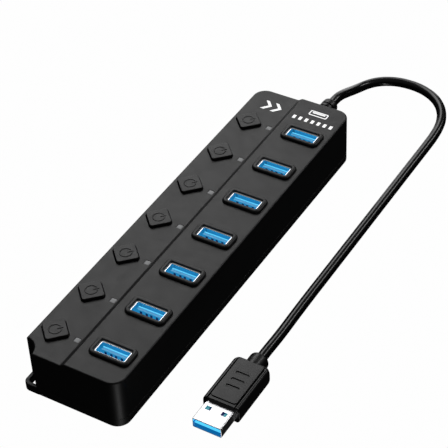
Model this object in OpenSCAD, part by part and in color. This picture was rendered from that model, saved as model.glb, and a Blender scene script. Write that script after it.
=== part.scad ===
// Seven-port USB hub: a long two-level box with a switch, a status window and an
// upright USB-A socket for each port, and a short captive lead ending in a USB-A plug.
// Millimetres. +X towards the sockets, +Y towards the lead, +Z up, origin at the
// centre of the face that the hub stands on.

/* [Body] */
// Width of the body
body_w = 44; // [43:0.5:50]
// Length of the body
body_l = 178; // [176:1:200]
// Height of the socket side above the table
body_h = 23; // [22.5:0.1:26]
// How much lower the switch side is
step_drop = 1.3; // [0.6:0.1:1.6]
// Radius of the upright corners
corner_r = 5.5; // [4:0.5:6]
// Wall thickness of the housing
wall = 1.4; // [1.2:0.1:1.6]
// Roof thickness of the housing
roof_t = 1.6; // [1.4:0.1:2]
// Height of the joint line between cover and housing
seam_z = 4.2; // [4:0.1:5]
// Radius of the scoop cut out of the lanyard corner
scoop_r = 6.4; // [6:0.1:7]

/* [Ports] */
// Number of sockets and switches
port_count = 7; // [7]
// Spacing of the sockets
port_pitch = 23.5; // [23:0.1:25]
// Centre of the first socket along the body
first_port_y = -75.2; // [-76:0.1:-74]
// Centre line of the sockets
port_x = 11; // [10:0.1:11.5]
// Outer width of a socket shell
shell_w = 13.1; // [13.1]
// Outer depth of a socket shell
shell_d = 5.7; // [5.7]
// Sheet thickness of the socket and plug shells
sheet = 0.3; // [0.3]
// Outer width of the raised rim
rim_w = 17.2; // [16.6:0.1:17.6]
// Outer depth of the raised rim
rim_d = 9.6; // [9:0.1:10]
// Height of the rim above the roof
rim_h = 1.2; // [0.8:0.1:1.4]

/* [Switches] */
// Centre line of the buttons
button_x = -14.4; // [-14.6:0.1:-14]
// Side of the diamond-set button
button_side = 8.7; // [8:0.1:9]
// Height of a released button above the roof
button_proud = 1.1; // [0.8:0.1:1.3]
// Stroke of a button
button_travel = 1.5; // [1:0.1:1.5]
// Centre line of the status windows
window_x = -4.7; // [-5:0.1:-4.6]
// Side of a status window
window_side = 2.2; // [1.8:0.1:2.2]

/* [Lead] */
// Diameter of the cable
cable_d = 4.2; // [3.8:0.1:4.5]
// Centre of the lead's exit across the body
exit_x = 4; // [3:0.5:5]
// Height of the lead's exit
exit_z = 11; // [10:0.5:11.5]
// Length of the strain relief outside the wall
relief_l = 16; // [14:1:18]
// Width of the plug's grip
grip_w = 15.4; // [14.5:0.1:16]
// Height of the plug's grip
grip_h = 8; // [7.5:0.1:8]
// Length of the plug's grip
grip_l = 23.6; // [20:0.2:26]
// Length of bare plug shell
plug_l = 10; // [9.5:0.1:12]

/* [Hidden] */
$fn = 64;
eps = 0.01;
base_z = 0.4;                       // the feet hold the cover this far off the table
far_y = body_l / 2;
low_z = body_h - step_drop;         // top of the switch side
low_roof_z = low_z - roof_t;
high_roof_z = body_h - roof_t;
step_x = [-3.4, -1.4];              // start and end of the slope between the levels
board_t = 1.6;
board_z = 6.1;                      // underside of the circuit board
board_top = board_z + board_t;
board_gap = 0.7;                    // board edge to wall
board_y = [-far_y + wall + board_gap, far_y - 4];
cover_t = 1.6;
lip_t = 0.9;
lip_gap = 0.1;
lip_z = seam_z + 1.7;
sheet_bend = 0.5;                   // outer radius of a folded shell's corners
shell_top = body_h + rim_h - 0.9;
rim_r = 2.4;
rim_edge = 0.4;                     // step that stands for the rim's round edge
port_gap = 0.15;                    // socket shell to housing
opening_r = 0.5;
tongue_w = 11.1;
strip_x = [-3.5, -1, 1, 3.5];       // the four long contacts of a USB-A connector
tongue_t = 1.9;
tongue_y = 0.8;                     // tongue centre from socket centre
tongue_top = shell_top - 1.2;
socket_floor = board_top + 4.3;
button_r = 1;
button_gap = 0.2;
button_top = low_z + button_proud;
flange_side = 10.6;
flange_t = 1;
flange_top = low_roof_z - 0.15;
cap_foot = flange_top - flange_t;
cap_t = 1.4;                        // thickness of the button's top
flange_clip_x = -body_w / 2 + wall + 0.3;
post_r = 2.4;
plunger_r = 1.5;
plunger_top = 17.9;
switch_side = 8;
switch_top = 14.5;
switch_floor = 9.3;
plunger_bottom = switch_floor + button_travel + 0.4;
post_z = switch_top + button_travel + 0.5;  // underside of the button's post
screw_x = [-17, 16.5];
screw_y = [first_port_y + port_pitch / 2, first_port_y + port_pitch * 5.5];
screw_r = 1.1;
screw_head_r = 2.3;
screw_head_z = [1.2, 2.8];
screw_tip_z = 15;
pillar_r = 3.4;
boss_r = 2.7;
foot_r = 5;
foot_recess = 0.6;
foot_pos = [[-14, -78], [14, -78], [-14, 78], [14, 78]];
relief_neck_r = 3.1;
grip_end_y = -42.4;
grip_y = [grip_end_y - grip_l, grip_end_y];
plug_tip_y = grip_y[0] - plug_l;
plug_x = 49.4;
plug_w = 12;
plug_d = 4.5;
slab_t = 2;                         // blue slab inside the plug
boot_l = 5.2;
boot_r = 3.9;
socket_in_grip = 6;                 // how far the plug's shell reaches into the grip
axis_z = grip_h / 2;

// Centre line of the cable, from the strain relief to the plug's boot
cable_route = [
    [4, 105, 11], [4, 107, 11], [4, 111, 10.6], [3.9, 115, 9.4], [3.8, 119, 7.7],
    [3.7, 123, 5.9], [3.8, 127, 4.2], [4.3, 131, 2.9], [5.4, 134.6, 2.3], [7.4, 137.8, 2.2],
    [10.2, 140.5, 2.2], [13.7, 142.6, 2.2], [17.8, 144, 2.2], [22.5, 144.5, 2.2],
    [27.3, 144.2, 2.2], [32, 142.9, 2.2], [36.5, 140.6, 2.2], [40.4, 137.3, 2.2],
    [43.6, 133.1, 2.2], [46, 128.1, 2.2], [47.5, 122.4, 2.2], [48.2, 116, 2.2],
    [48.4, 108, 2.2], [48.4, 98, 2.2], [48.4, 86, 2.2], [48.4, 74, 2.2], [48.4, 62, 2.2],
    [48.4, 50, 2.2], [48.4, 38, 2.2], [48.4, 26, 2.2], [48.4, 14, 2.2], [48.4, 2, 2.2],
    [48.5, -9, 2.2], [48.8, -18, 2.5], [49.2, -25, 3.3], [49.4, -30, 3.9],
    [49.4, -33, 4], [49.4, -37.2, 4]
];
cable_sides = 10;

function port_y(i) = first_port_y + port_pitch * i;
function mid_y(i) = port_y(i) + port_pitch / 2;

// ---------- shared outlines ----------

// Rectangle with round corners, centred
module round_rect(w, d, r) {
    square([w - 2 * r, d], center = true);
    square([w, d - 2 * r], center = true);
    for (sx = [-1, 1], sy = [-1, 1])
        translate([sx * (w / 2 - r), sy * (d / 2 - r)]) circle(r);
}

// Plan of the body drawn in by a margin
module body_plan(inset = 0) {
    round_rect(body_w - 2 * inset, body_l - 2 * inset, corner_r - inset);
}

// Round scoop in the lanyard corner, grown by a margin
module scoop_plan(grow = 0) {
    translate([-body_w / 2, -far_y]) circle(scoop_r + grow);
}

// Square turned by 45 degrees with round corners
module diamond_plan(side, r) {
    rotate(45) round_rect(side, side, r);
}

// Side view of the body's top: low side, smooth slope, high side
module level_profile(low, high) {
    bottom = base_z - 1;
    slope = [for (k = [0:8]) let (t = k / 8)
        [step_x[0] + (step_x[1] - step_x[0]) * t, low + (high - low) * (1 - cos(180 * t)) / 2]];
    polygon(concat([[-body_w, bottom], [-body_w, low]], slope, [[body_w, high], [body_w, bottom]]));
}

// The profile pulled along the whole body
module level_prism(low, high) {
    translate([0, body_l, 0]) rotate([90, 0, 0]) linear_extrude(2 * body_l) level_profile(low, high);
}

module at_ports(x) {
    for (i = [0:port_count - 1]) translate([x, port_y(i), 0]) children();
}

module at_screws() {
    for (x = screw_x, y = screw_y) translate([x, y, 0]) children();
}

// Cylinder between two heights
module column(z0, z1, r) {
    translate([0, 0, z0]) cylinder(h = z1 - z0, r = r);
}

// Box centred in X and Y between two heights
module block(w, d, z0, z1) {
    translate([-w / 2, -d / 2, z0]) cube([w, d, z1 - z0]);
}

// ---------- casing ----------

module top_housing() {
    color([0.16, 0.16, 0.165]) difference() {
        union() {
            difference() {
                intersection() {
                    translate([0, 0, seam_z]) linear_extrude(body_h) body_plan();
                    level_prism(low_z, body_h);
                }
                housing_cavity();
            }
            housing_scoop_wall();
            housing_ribs();
            at_ports(port_x) port_rim();
            at_screws() column(board_top, low_roof_z + 0.5, boss_r);
        }
        translate([0, 0, -1]) linear_extrude(body_h + 2) scoop_plan();
        at_ports(port_x) translate([0, 0, seam_z]) linear_extrude(body_h)
            round_rect(shell_w + 2 * port_gap, shell_d + 2 * port_gap, opening_r);
        at_ports(button_x) translate([0, 0, flange_top]) linear_extrude(4)
            diamond_plan(button_side + 2 * button_gap, button_r + button_gap);
        at_ports(window_x) block(window_side + 0.1, window_side + 0.1, low_roof_z - 1, body_h);
        at_screws() column(board_top - 1, screw_tip_z + 0.6, screw_r - 0.15);
        translate([exit_x, far_y - wall - 3, exit_z]) rotate([-90, 0, 0])
            cylinder(h = wall + 6, r = relief_neck_r + 0.05);
    }
}

module housing_cavity() {
    intersection() {
        translate([0, 0, base_z]) linear_extrude(body_h) difference() {
            body_plan(wall);
            scoop_plan(wall);
        }
        level_prism(low_roof_z, high_roof_z);
    }
}

// Curved wall behind the scoop
module housing_scoop_wall() {
    intersection() {
        translate([0, 0, seam_z]) linear_extrude(low_roof_z + 0.5 - seam_z) difference() {
            scoop_plan(wall);
            scoop_plan();
        }
        linear_extrude(body_h) body_plan(0.2);
    }
}

// Stiffening ribs under the roof, between the ports
module housing_ribs() {
    rib_t = 1;
    rib_z = 17;
    for (i = [0:port_count - 2]) translate([0, mid_y(i), 0])
        block(body_w - 2 * wall + 0.4, rib_t, rib_z, low_roof_z + 0.5);
}

// Raised rim round a socket, with a stepped edge, rooted in the roof
module port_rim() {
    root = 0.5;
    translate([0, 0, body_h - root]) {
        linear_extrude(root + rim_h - rim_edge) round_rect(rim_w, rim_d, rim_r);
        linear_extrude(root + rim_h)
            round_rect(rim_w - 2 * rim_edge, rim_d - 2 * rim_edge, rim_r - rim_edge);
    }
}

module bottom_cover() {
    color([0.1, 0.1, 0.105]) difference() {
        union() {
            cover_tray();
            cover_lip();
            lanyard_eye();
            at_screws() column(base_z, board_z, pillar_r);
        }
        at_screws() column(base_z - 1, screw_head_z[1], screw_head_r + 0.3);
        at_screws() column(0, board_z + 1, screw_r + 0.2);
        for (p = foot_pos) translate([p[0], p[1], 0]) column(0, base_z + foot_recess, foot_r + 0.1);
    }
}

module cover_tray() {
    translate([0, 0, base_z]) linear_extrude(seam_z - base_z) difference() {
        body_plan();
        scoop_plan();
        difference() {
            body_plan(wall);
            scoop_plan(wall);
        }
    }
    translate([0, 0, base_z]) linear_extrude(cover_t) difference() {
        body_plan(0.2);
        scoop_plan(0.2);
    }
}

// Locating lip that stands inside the housing
module cover_lip() {
    inset = wall + lip_gap;
    translate([0, 0, base_z + cover_t - 0.2]) linear_extrude(lip_z - base_z - cover_t + 0.2) difference() {
        body_plan(inset);
        scoop_plan(inset);
        difference() {
            body_plan(inset + lip_t);
            scoop_plan(inset + lip_t);
        }
    }
    // joins the lip to the tray wall below the seam
    translate([0, 0, base_z + cover_t - 0.2]) linear_extrude(seam_z - base_z - cover_t) difference() {
        body_plan(wall - 0.2);
        scoop_plan(wall - 0.2);
        difference() {
            body_plan(inset + 0.2);
            scoop_plan(inset + 0.2);
        }
    }
}

// Curved strap that bridges the scoop at the foot of the body
module lanyard_eye() {
    strap_t = 1.7;
    strap_h = 3.6;
    strap_r = 2.8;
    translate([0, 0, base_z]) linear_extrude(strap_h) intersection() {
        difference() {
            round_rect(body_w, body_l, strap_r);
            round_rect(body_w - 2 * strap_t, body_l - 2 * strap_t, strap_r - strap_t);
        }
        scoop_plan(0.5);
    }
}

module rubber_feet() {
    color([0.07, 0.07, 0.07])
        for (p = foot_pos) translate([p[0], p[1], 0]) column(0, base_z + foot_recess, foot_r);
}

module cover_screws() {
    color([0.75, 0.75, 0.77]) at_screws() difference() {
        union() {
            column(screw_head_z[0], screw_head_z[1], screw_head_r);
            column(screw_head_z[1] - eps, screw_tip_z, screw_r);
        }
        block(2.4, 0.5, 0, screw_head_z[0] + 0.9);
        block(0.5, 2.4, 0, screw_head_z[0] + 0.9);
    }
}

// Flat white pictograms on the roof: a seven-bar port counter, a socket sign, two arrow heads
module printed_marks() {
    ink = 0.05;
    line = 0.5;
    sign = [8.4, 3.2];
    bar = [1.3, 2.2];
    arrow_h = 2.9;
    color([0.95, 0.95, 0.95]) {
        translate([port_x, 0, body_h]) linear_extrude(ink) {
            for (k = [0:port_count - 1]) translate([-10 + 2.85 * k, 75.2]) square(bar);
            translate([-0.8, 81.9]) {
                difference() {
                    round_rect(sign[0], sign[1], 0.7);
                    round_rect(sign[0] - 2 * line, sign[1] - 2 * line, 0.4);
                }
                translate([-2.9, 0]) square([5.8, 0.9]);
            }
        }
        translate([-10.6, 79.4, low_z]) linear_extrude(ink) for (x = [-4.4, 0.2]) translate([x, 0])
            polygon([[0, arrow_h], [1.6, arrow_h], [4.2, 0], [1.6, -arrow_h], [0, -arrow_h], [2.6, 0]]);
    }
}

// ---------- electronics ----------

module circuit_board() {
    color([0.05, 0.3, 0.14]) difference() {
        translate([-body_w / 2 + wall + board_gap, board_y[0], board_z])
            cube([body_w - 2 * (wall + board_gap), board_y[1] - board_y[0], board_t]);
        translate([0, 0, board_z - 1]) linear_extrude(board_t + 2) scoop_plan(wall + board_gap + 1);
        at_screws() column(board_z - 1, board_top + 1, screw_r + 0.2);
        at_ports(port_x) for (s = [-1, 1]) translate([s * (shell_w - sheet) / 2, 0, 0])
            block(sheet + 0.5, 2.1, board_z - 1, board_top + 1);
        for (sx = [-1, 1], sy = [0, 1]) translate([sx * (body_w / 2 - wall - board_gap), board_y[sy], 0])
            rotate(45) block(6, 6, board_z - 1, board_top + 1);
    }
}

module switch_body() {
    color([0.12, 0.12, 0.12]) translate([button_x, 0, 0]) difference() {
        union() {
            block(switch_side, switch_side, board_top, switch_top);
            for (sx = [-1, 1], sy = [-1, 0, 1]) translate([sx * (switch_side / 2 + 0.4), sy * 2.5, 0])
                block(1, 0.7, board_top, board_top + 0.5);
        }
        column(switch_floor, switch_top + 1, plunger_r + 0.08);
    }
}

module switch_plunger() {
    color([0.92, 0.92, 0.9]) translate([button_x, 0, 0]) column(plunger_bottom, plunger_top, plunger_r);
}

module button_cap() {
    color([0.17, 0.17, 0.175]) translate([button_x, 0, 0]) {
        difference() {
            union() {
                translate([0, 0, cap_foot])
                    linear_extrude(button_top - cap_foot) diamond_plan(button_side, button_r);
                cap_flange();
            }
            translate([0, 0, cap_foot - 1])
                linear_extrude(button_top - cap_t - cap_foot + 1) diamond_plan(button_side - 2, 0.5);
        }
        difference() {
            column(post_z, button_top - cap_t + 0.2, post_r);
            column(post_z - 1, plunger_top, plunger_r + 0.02);
        }
        power_symbol();
    }
}

// Skirt that keeps the cap under the roof, trimmed beside the outer wall
module cap_flange() {
    intersection() {
        translate([0, 0, cap_foot]) linear_extrude(flange_t) diamond_plan(flange_side, 1.4);
        translate([flange_clip_x - button_x, -20, 0]) cube([40, 40, body_h]);
    }
}

// Raised ring with a bar in its gap
module power_symbol() {
    raise = 0.15;
    ring_r = 2.6;
    line = 0.5;
    translate([0, 0, button_top - eps]) linear_extrude(raise + eps) rotate(-45) {
        difference() {
            circle(ring_r);
            circle(ring_r - line);
            translate([-0.85, 0]) square([1.7, 4]);
        }
        translate([-line / 2, 0.7]) square([line, ring_r - 0.3]);
    }
}

module light_pipe() {
    color([0.8, 0.82, 0.84, 0.7]) translate([window_x, 0, 0]) {
        block(window_side, window_side, board_top + 1.1, low_z);
        block(window_side + 1.2, window_side + 1.2, low_roof_z - 1.2, low_roof_z);
    }
}

module led_chips() {
    color([0.9, 0.92, 0.85]) at_ports(window_x) block(1.6, 0.9, board_top, board_top + 0.8);
}

module hub_chips() {
    color([0.08, 0.08, 0.09]) for (i = [1, 4]) translate([-2.5, mid_y(i), 0]) {
        block(7, 7, board_top + 0.1, board_top + 1);
        block(7.6, 5.6, board_top, board_top + 0.25);
        block(5.6, 7.6, board_top, board_top + 0.25);
    }
}

module crystals() {
    color([0.8, 0.8, 0.82]) for (i = [1, 4]) translate([-9.5, mid_y(i) + 1, 0])
        block(2.5, 3.2, board_top, board_top + 0.8);
}

module capacitors() {
    color([0.55, 0.56, 0.6]) for (i = [0:port_count - 2]) translate([9, mid_y(i), 0]) {
        column(board_top + 0.5, board_top + 6.5, 3.15);
        block(6.6, 6.6, board_top, board_top + 0.6);
    }
}

// ---------- sockets ----------

module port_shell() {
    color([0.82, 0.83, 0.85]) translate([port_x, 0, 0]) {
        difference() {
            translate([0, 0, board_top]) linear_extrude(shell_top - board_top)
                round_rect(shell_w, shell_d, sheet_bend);
            translate([0, 0, board_top - 1]) linear_extrude(shell_top)
                round_rect(shell_w - 2 * sheet, shell_d - 2 * sheet, sheet_bend - sheet);
        }
        for (s = [-1, 1]) translate([s * (shell_w - sheet) / 2, 0, 0])
            block(sheet, 1.6, board_z - 1.2, board_top + 0.5);
    }
}

module port_insulator() {
    color([0.05, 0.4, 0.85]) translate([port_x, 0, 0]) {
        block(shell_w - 2 * sheet - 0.1, shell_d - 2 * sheet - 0.1, board_top, socket_floor);
        translate([0, tongue_y, 0]) block(tongue_w, tongue_t, socket_floor - eps, tongue_top);
    }
}

// Four long strips for the first row and five short ones for the fast row, in each socket
module port_contacts() {
    strip = [1, 0.2, 7];
    short = [0.6, 0.2, 1.4];
    face_y = tongue_y - tongue_t / 2 - strip[1];
    color([0.85, 0.7, 0.35]) at_ports(port_x) {
        for (x = strip_x) translate([x - strip[0] / 2, face_y, socket_floor + 2]) cube(strip);
        for (x = [-4, -2.25, 0, 2.25, 4])
            translate([x - short[0] / 2, face_y, tongue_top - short[2] - 0.2]) cube(short);
    }
}

// ---------- lead ----------

// Turned shape about the lead's exit axis: points are [radius, distance out of the far wall]
module lead_turning(points) {
    translate([exit_x, far_y, exit_z]) rotate([-90, 0, 0]) rotate_extrude() polygon(points);
}

module strain_relief() {
    end_r = 3.5;
    color([0.06, 0.06, 0.06]) lead_turning([
        [0, -wall - 1.5], [4.6, -wall - 1.5], [4.6, -wall], [relief_neck_r, -wall], [relief_neck_r, 0],
        [4.2, 0], [4.2, 1.2], [3.8, 2], [end_r, relief_l - 0.8], [end_r - 0.25, relief_l - 0.25],
        [end_r - 0.8, relief_l], [0, relief_l]
    ]);
}

// Stub of the jacket and the insulated cores behind the wall
module inner_leads() {
    start = -wall - 1.5;
    color([0.7, 0.15, 0.12]) {
        lead_turning([[0, start - 3], [cable_d / 2, start - 3], [cable_d / 2, start], [0, start]]);
        for (k = [0:3]) translate([exit_x - 1.35 + 0.9 * k, far_y + start - 3 + eps, exit_z])
            rotate([112, 0, 0]) cylinder(h = 7.7, r = 0.4, $fn = 16);
    }
}

function unit(v) = v / norm(v);
function route_dir(p, i) = i == 0 || i == len(p) - 1
    ? unit([0, i == 0 ? 1 : -1, 0])
    : unit(p[i + 1] - p[i - 1]);
function ring_points(c, d, r, n) =
    let (side = unit(cross(d, [0, 0, 1])), up = cross(side, d))
    [for (k = [0:n - 1]) c + r * (cos(360 * (k + 0.5) / n) * side + sin(360 * (k + 0.5) / n) * up)];

// Tube of n sides along a list of points
module swept_tube(path, r, n) {
    rings = len(path);
    points = [for (i = [0:rings - 1]) each ring_points(path[i], route_dir(path, i), r, n)];
    sides = [for (i = [0:rings - 2], k = [0:n - 1]) let (a = i * n, b = (k + 1) % n)
        [a + k, a + b, a + n + b, a + n + k]];
    first = [for (k = [n - 1:-1:0]) k];
    last = [for (k = [0:n - 1]) (rings - 1) * n + k];
    polyhedron(points = points, faces = concat(sides, [first, last]), convexity = 8);
}

module cable() {
    color([0.06, 0.06, 0.06]) swept_tube(cable_route, cable_d / 2, cable_sides);
}

// Moves a shape drawn across the plug so that it runs along the plug between two places
module along_plug(y0, y1) {
    translate([plug_x, y1, axis_z]) rotate([90, 0, 0]) linear_extrude(y1 - y0) children();
}

module plug_grip() {
    panel_w = 10.6;
    panel_h = 0.25;
    color([0.08, 0.08, 0.08]) difference() {
        union() {
            along_plug(grip_y[0], grip_y[1]) round_rect(grip_w, grip_h - 2 * panel_h, 3.4);
            along_plug(grip_y[0] + 0.6, grip_y[1] - 1.5) square([panel_w, grip_h], center = true);
            plug_boot();
        }
        along_plug(grip_y[0] - 1, grip_y[0] + socket_in_grip) square([plug_w, plug_d], center = true);
    }
}

// Short round-ended boot behind the grip
module plug_boot() {
    root = 0.5;
    translate([plug_x, grip_y[1], axis_z]) rotate([-90, 0, 0]) rotate_extrude() polygon([
        [0, -root], [boot_r, -root], [boot_r, boot_l - 1.4], [boot_r - 0.4, boot_l - 0.4],
        [boot_r - 1.2, boot_l], [0, boot_l]
    ]);
}

module plug_shell() {
    window = [2.2, 1.9];
    color([0.9, 0.9, 0.92]) difference() {
        along_plug(plug_tip_y, grip_y[0] + socket_in_grip) round_rect(plug_w, plug_d, sheet_bend);
        along_plug(plug_tip_y - 1, grip_y[0] + socket_in_grip - 0.4)
            round_rect(plug_w - 2 * sheet, plug_d - 2 * sheet, sheet_bend - sheet);
        for (s = [-1, 1]) translate([plug_x + s * 3.25, plug_tip_y + 6.8, 0])
            block(window[0], window[1], -1, grip_h + 2);
    }
}

module plug_insulator() {
    inner_w = plug_w - 2 * sheet - 0.1;
    rear_y = grip_y[0] + socket_in_grip - 0.5;
    color([0.05, 0.42, 0.88]) {
        translate([0, 0, sheet - (plug_d - slab_t) / 2]) along_plug(plug_tip_y + 0.5, rear_y)
            square([inner_w, slab_t - 0.05], center = true);
        along_plug(grip_y[0] - 1.5, rear_y) square([inner_w, plug_d - 2 * sheet - 0.1], center = true);
    }
}

module plug_contacts() {
    strip = [1, 5.4, 0.15];
    short = [0.6, 1.4, 0.15];
    face_z = axis_z - plug_d / 2 + sheet + slab_t - 0.025;
    color([0.85, 0.7, 0.35]) translate([plug_x, plug_tip_y, face_z]) {
        for (x = strip_x) translate([x - strip[0] / 2, 1.2, 0]) cube(strip);
        for (x = [-4, -2, 0, 2, 4]) translate([x - short[0] / 2, 7, 0]) cube(short);
    }
}

// ---------- the nodes ----------

module at_port(i) {
    translate([0, port_y(i - 1), 0]) children();
}

top_housing();
bottom_cover();
circuit_board();
port_contacts();
led_chips();
hub_chips();
crystals();
capacitors();
cover_screws();
rubber_feet();
strain_relief();
cable();
inner_leads();
plug_grip();
plug_shell();
plug_insulator();
plug_contacts();
printed_marks();
for (i = [1:port_count]) {
    at_port(i) button_cap();
    at_port(i) switch_plunger();
    at_port(i) switch_body();
    at_port(i) port_shell();
    at_port(i) port_insulator();
    at_port(i) light_pipe();
}
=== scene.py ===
"""Seven-port USB hub with a captive lead: the looks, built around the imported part.

Sizes are kept in millimetres and turned into metres when a mesh is made.
"""
import logging
import math
from collections.abc import Callable, Iterable, Sequence
from dataclasses import dataclass, field
from enum import Enum

import bmesh
import bpy
from mathutils import Matrix, Vector
from mathutils.geometry import delaunay_2d_cdt


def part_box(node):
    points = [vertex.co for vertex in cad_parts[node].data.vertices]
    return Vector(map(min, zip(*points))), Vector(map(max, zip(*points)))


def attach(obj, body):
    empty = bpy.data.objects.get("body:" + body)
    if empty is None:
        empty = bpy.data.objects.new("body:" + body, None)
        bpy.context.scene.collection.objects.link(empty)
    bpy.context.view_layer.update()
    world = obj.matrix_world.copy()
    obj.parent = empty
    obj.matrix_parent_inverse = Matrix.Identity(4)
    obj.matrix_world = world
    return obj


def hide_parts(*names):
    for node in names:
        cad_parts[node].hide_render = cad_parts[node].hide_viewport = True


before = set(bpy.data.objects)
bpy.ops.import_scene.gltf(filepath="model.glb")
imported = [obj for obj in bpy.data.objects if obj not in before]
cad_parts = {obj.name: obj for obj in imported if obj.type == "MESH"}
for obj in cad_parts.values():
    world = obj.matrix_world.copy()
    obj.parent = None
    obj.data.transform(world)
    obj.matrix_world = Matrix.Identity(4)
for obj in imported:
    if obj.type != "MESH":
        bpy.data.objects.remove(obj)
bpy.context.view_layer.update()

LOG = logging.getLogger("usb_hub")
MM = 0.001
PORTS = 7
ROOT = "root"

Point2 = tuple[float, float]
Point3 = tuple[float, float, float]
Colour = tuple[float, float, float]


# ---------- shader building ----------

@dataclass(frozen=True)
class Value:
    """A number that varies over a surface: one output socket with ordinary arithmetic."""

    graph: "Graph"
    socket: bpy.types.NodeSocket

    def maths(self, operation: str, first: "Operand", second: "Operand") -> "Value":
        """Adds one Math node.

        Args:
            operation: the Math node's operation.
            first: left operand.
            second: right operand.

        Returns:
            The node's result.
        """
        node = self.graph.node("ShaderNodeMath", {"operation": operation}, {0: first, 1: second})
        return Value(self.graph, node.outputs[0])

    def __add__(self, other: "Operand") -> "Value":
        """Sum."""
        return self.maths("ADD", self, other)

    def __rsub__(self, other: "Operand") -> "Value":
        """Difference with a number on the left."""
        return self.maths("SUBTRACT", other, self)

    def __mul__(self, other: "Operand") -> "Value":
        """Product."""
        return self.maths("MULTIPLY", self, other)


Operand = Value | float


class Graph:
    """A node tree under construction."""

    def __init__(self, tree: bpy.types.NodeTree) -> None:
        """Args:
            tree: the tree to empty and fill.
        """
        self.tree = tree
        tree.nodes.clear()

    def node(self, kind: str, settings: dict | None = None, inputs: dict | None = None) -> bpy.types.Node:
        """Adds one node.

        Args:
            kind: the node's type.
            settings: its properties, set first.
            inputs: values or links of its sockets, by name or number.

        Returns:
            The new node.
        """
        node = self.tree.nodes.new(kind)
        for key, value in (settings or {}).items():
            setattr(node, key, value)
        for key, value in (inputs or {}).items():
            source = value.socket if isinstance(value, Value) else value
            if isinstance(source, bpy.types.NodeSocket):
                self.tree.links.new(source, node.inputs[key])
            else:
                node.inputs[key].default_value = source
        return node

    def place(self, stretch: Point3 = (1, 1, 1)) -> bpy.types.NodeSocket:
        """Object coordinates.

        Args:
            stretch: how many times each axis is scaled.

        Returns:
            The scaled coordinates.
        """
        here = self.node("ShaderNodeTexCoord").outputs["Object"]
        return self.node("ShaderNodeMapping", inputs={"Vector": here, "Scale": stretch}).outputs[0]

    def noise(self, size: float, detail: float = 2.0, stretch: Point3 = (1, 1, 1)) -> Value:
        """Cloudy noise.

        Args:
            size: size of its features in millimetres.
            detail: number of finer layers.
            stretch: how many times finer it is along each axis.

        Returns:
            A value around one half.
        """
        node = self.node("ShaderNodeTexNoise", {"noise_dimensions": "3D"}, {
            "Vector": self.place(stretch), "Scale": 1 / (size * MM), "Detail": detail})
        return Value(self, node.outputs[0])

    def cells(self, size: float) -> Value:
        """Rounded cells, as left by spark erosion.

        Args:
            size: size of a cell in millimetres.

        Returns:
            Distance from the nearest cell's middle.
        """
        node = self.node("ShaderNodeTexVoronoi", {"feature": "SMOOTH_F1"}, {
            "Vector": self.place(), "Scale": 1 / (size * MM)})
        return Value(self, node.outputs[0])

    def blend(self, share: Value, first: Colour, second: Colour) -> bpy.types.NodeSocket:
        """Mixes two colours.

        Args:
            share: how much of the second colour.
            first: first colour.
            second: second colour.

        Returns:
            The mixed colour.
        """
        node = self.node("ShaderNodeMix", {"data_type": "RGBA"}, {
            0: share, 6: (*first, 1), 7: (*second, 1)})
        return node.outputs[2]


class Grain(Enum):
    """The fine relief that a surface carries."""

    SPARK = "spark"
    SATIN = "satin"
    DRAWN_UP = "drawn_up"
    DRAWN_ALONG = "drawn_along"
    WOVEN = "woven"


@dataclass(frozen=True)
class Finish:
    """A material: its colour, its gloss, the fine relief on it and any painted glow, an emission that
    brightens a part which is no lamp.
    """

    name: str
    colour: Colour
    roughness: float
    grain: Grain = Grain.SATIN
    grain_size: float = 0.3
    grain_depth: float = 0.006
    drift: float = 0.18
    wear: float = 0.06
    metallic: float = 0.0
    coat: float = 0.0
    # Painted glow: emission that brightens a part which is no lamp.
    painted_glow: float = 0.0
    specular: float = 0.5
    seen_through: float = 0.0

    def height(self, graph: Graph) -> Value:
        """Relief of the surface.

        Args:
            graph: the material's tree.

        Returns:
            Height from nought to one.
        """
        fine = {
            Grain.SPARK: lambda: graph.cells(self.grain_size) * 0.7 + graph.noise(
                self.grain_size * 0.6) * 0.5,
            Grain.SATIN: lambda: graph.noise(self.grain_size, 4.0),
            Grain.DRAWN_UP: lambda: graph.noise(self.grain_size, 3.0, (6, 6, 0.15)),
            Grain.DRAWN_ALONG: lambda: graph.noise(self.grain_size, 3.0, (6, 0.15, 6)),
            Grain.WOVEN: lambda: graph.noise(self.grain_size, 1.0, (3, 0.4, 1)) + graph.noise(
                self.grain_size, 1.0, (0.4, 3, 1)),
        }[self.grain]()
        return fine + graph.noise(self.grain_size * 30, 1.0) * 0.25

    def material(self) -> bpy.types.Material:
        """Makes the material once.

        Returns:
            The material of this name.
        """
        if self.name in bpy.data.materials:
            return bpy.data.materials[self.name]
        made = bpy.data.materials.new(self.name)
        made.use_nodes = True
        graph = Graph(made.node_tree)
        cloud = graph.noise(9.0, 3.0)
        dark = tuple(c * (1 - self.drift) for c in self.colour)
        light = tuple(min(1.0, c * (1 + self.drift)) for c in self.colour)
        height = self.height(graph)
        bump = graph.node("ShaderNodeBump", inputs={
            "Strength": 0.6, "Distance": self.grain_depth * MM, "Height": height})
        tint = graph.blend(cloud * 0.6 + height * 0.25, dark, light)
        smudge = graph.noise(4.0, 4.0)
        shader = graph.node("ShaderNodeBsdfPrincipled", inputs={
            "Base Color": tint,
            "Metallic": self.metallic,
            "Roughness": smudge * (2 * self.wear) + (self.roughness - self.wear),
            "Specular IOR Level": self.specular,
            "Coat Weight": self.coat,
            "Coat Roughness": 0.2,
            "Transmission Weight": self.seen_through,
            # Emission here is painted light: a glow that brightens a part which is no lamp.
            "Emission Color": tint,
            "Emission Strength": self.painted_glow,
            "Normal": bump.outputs[0]})
        graph.node("ShaderNodeOutputMaterial", inputs={"Surface": shader.outputs[0]})
        return made


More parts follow.
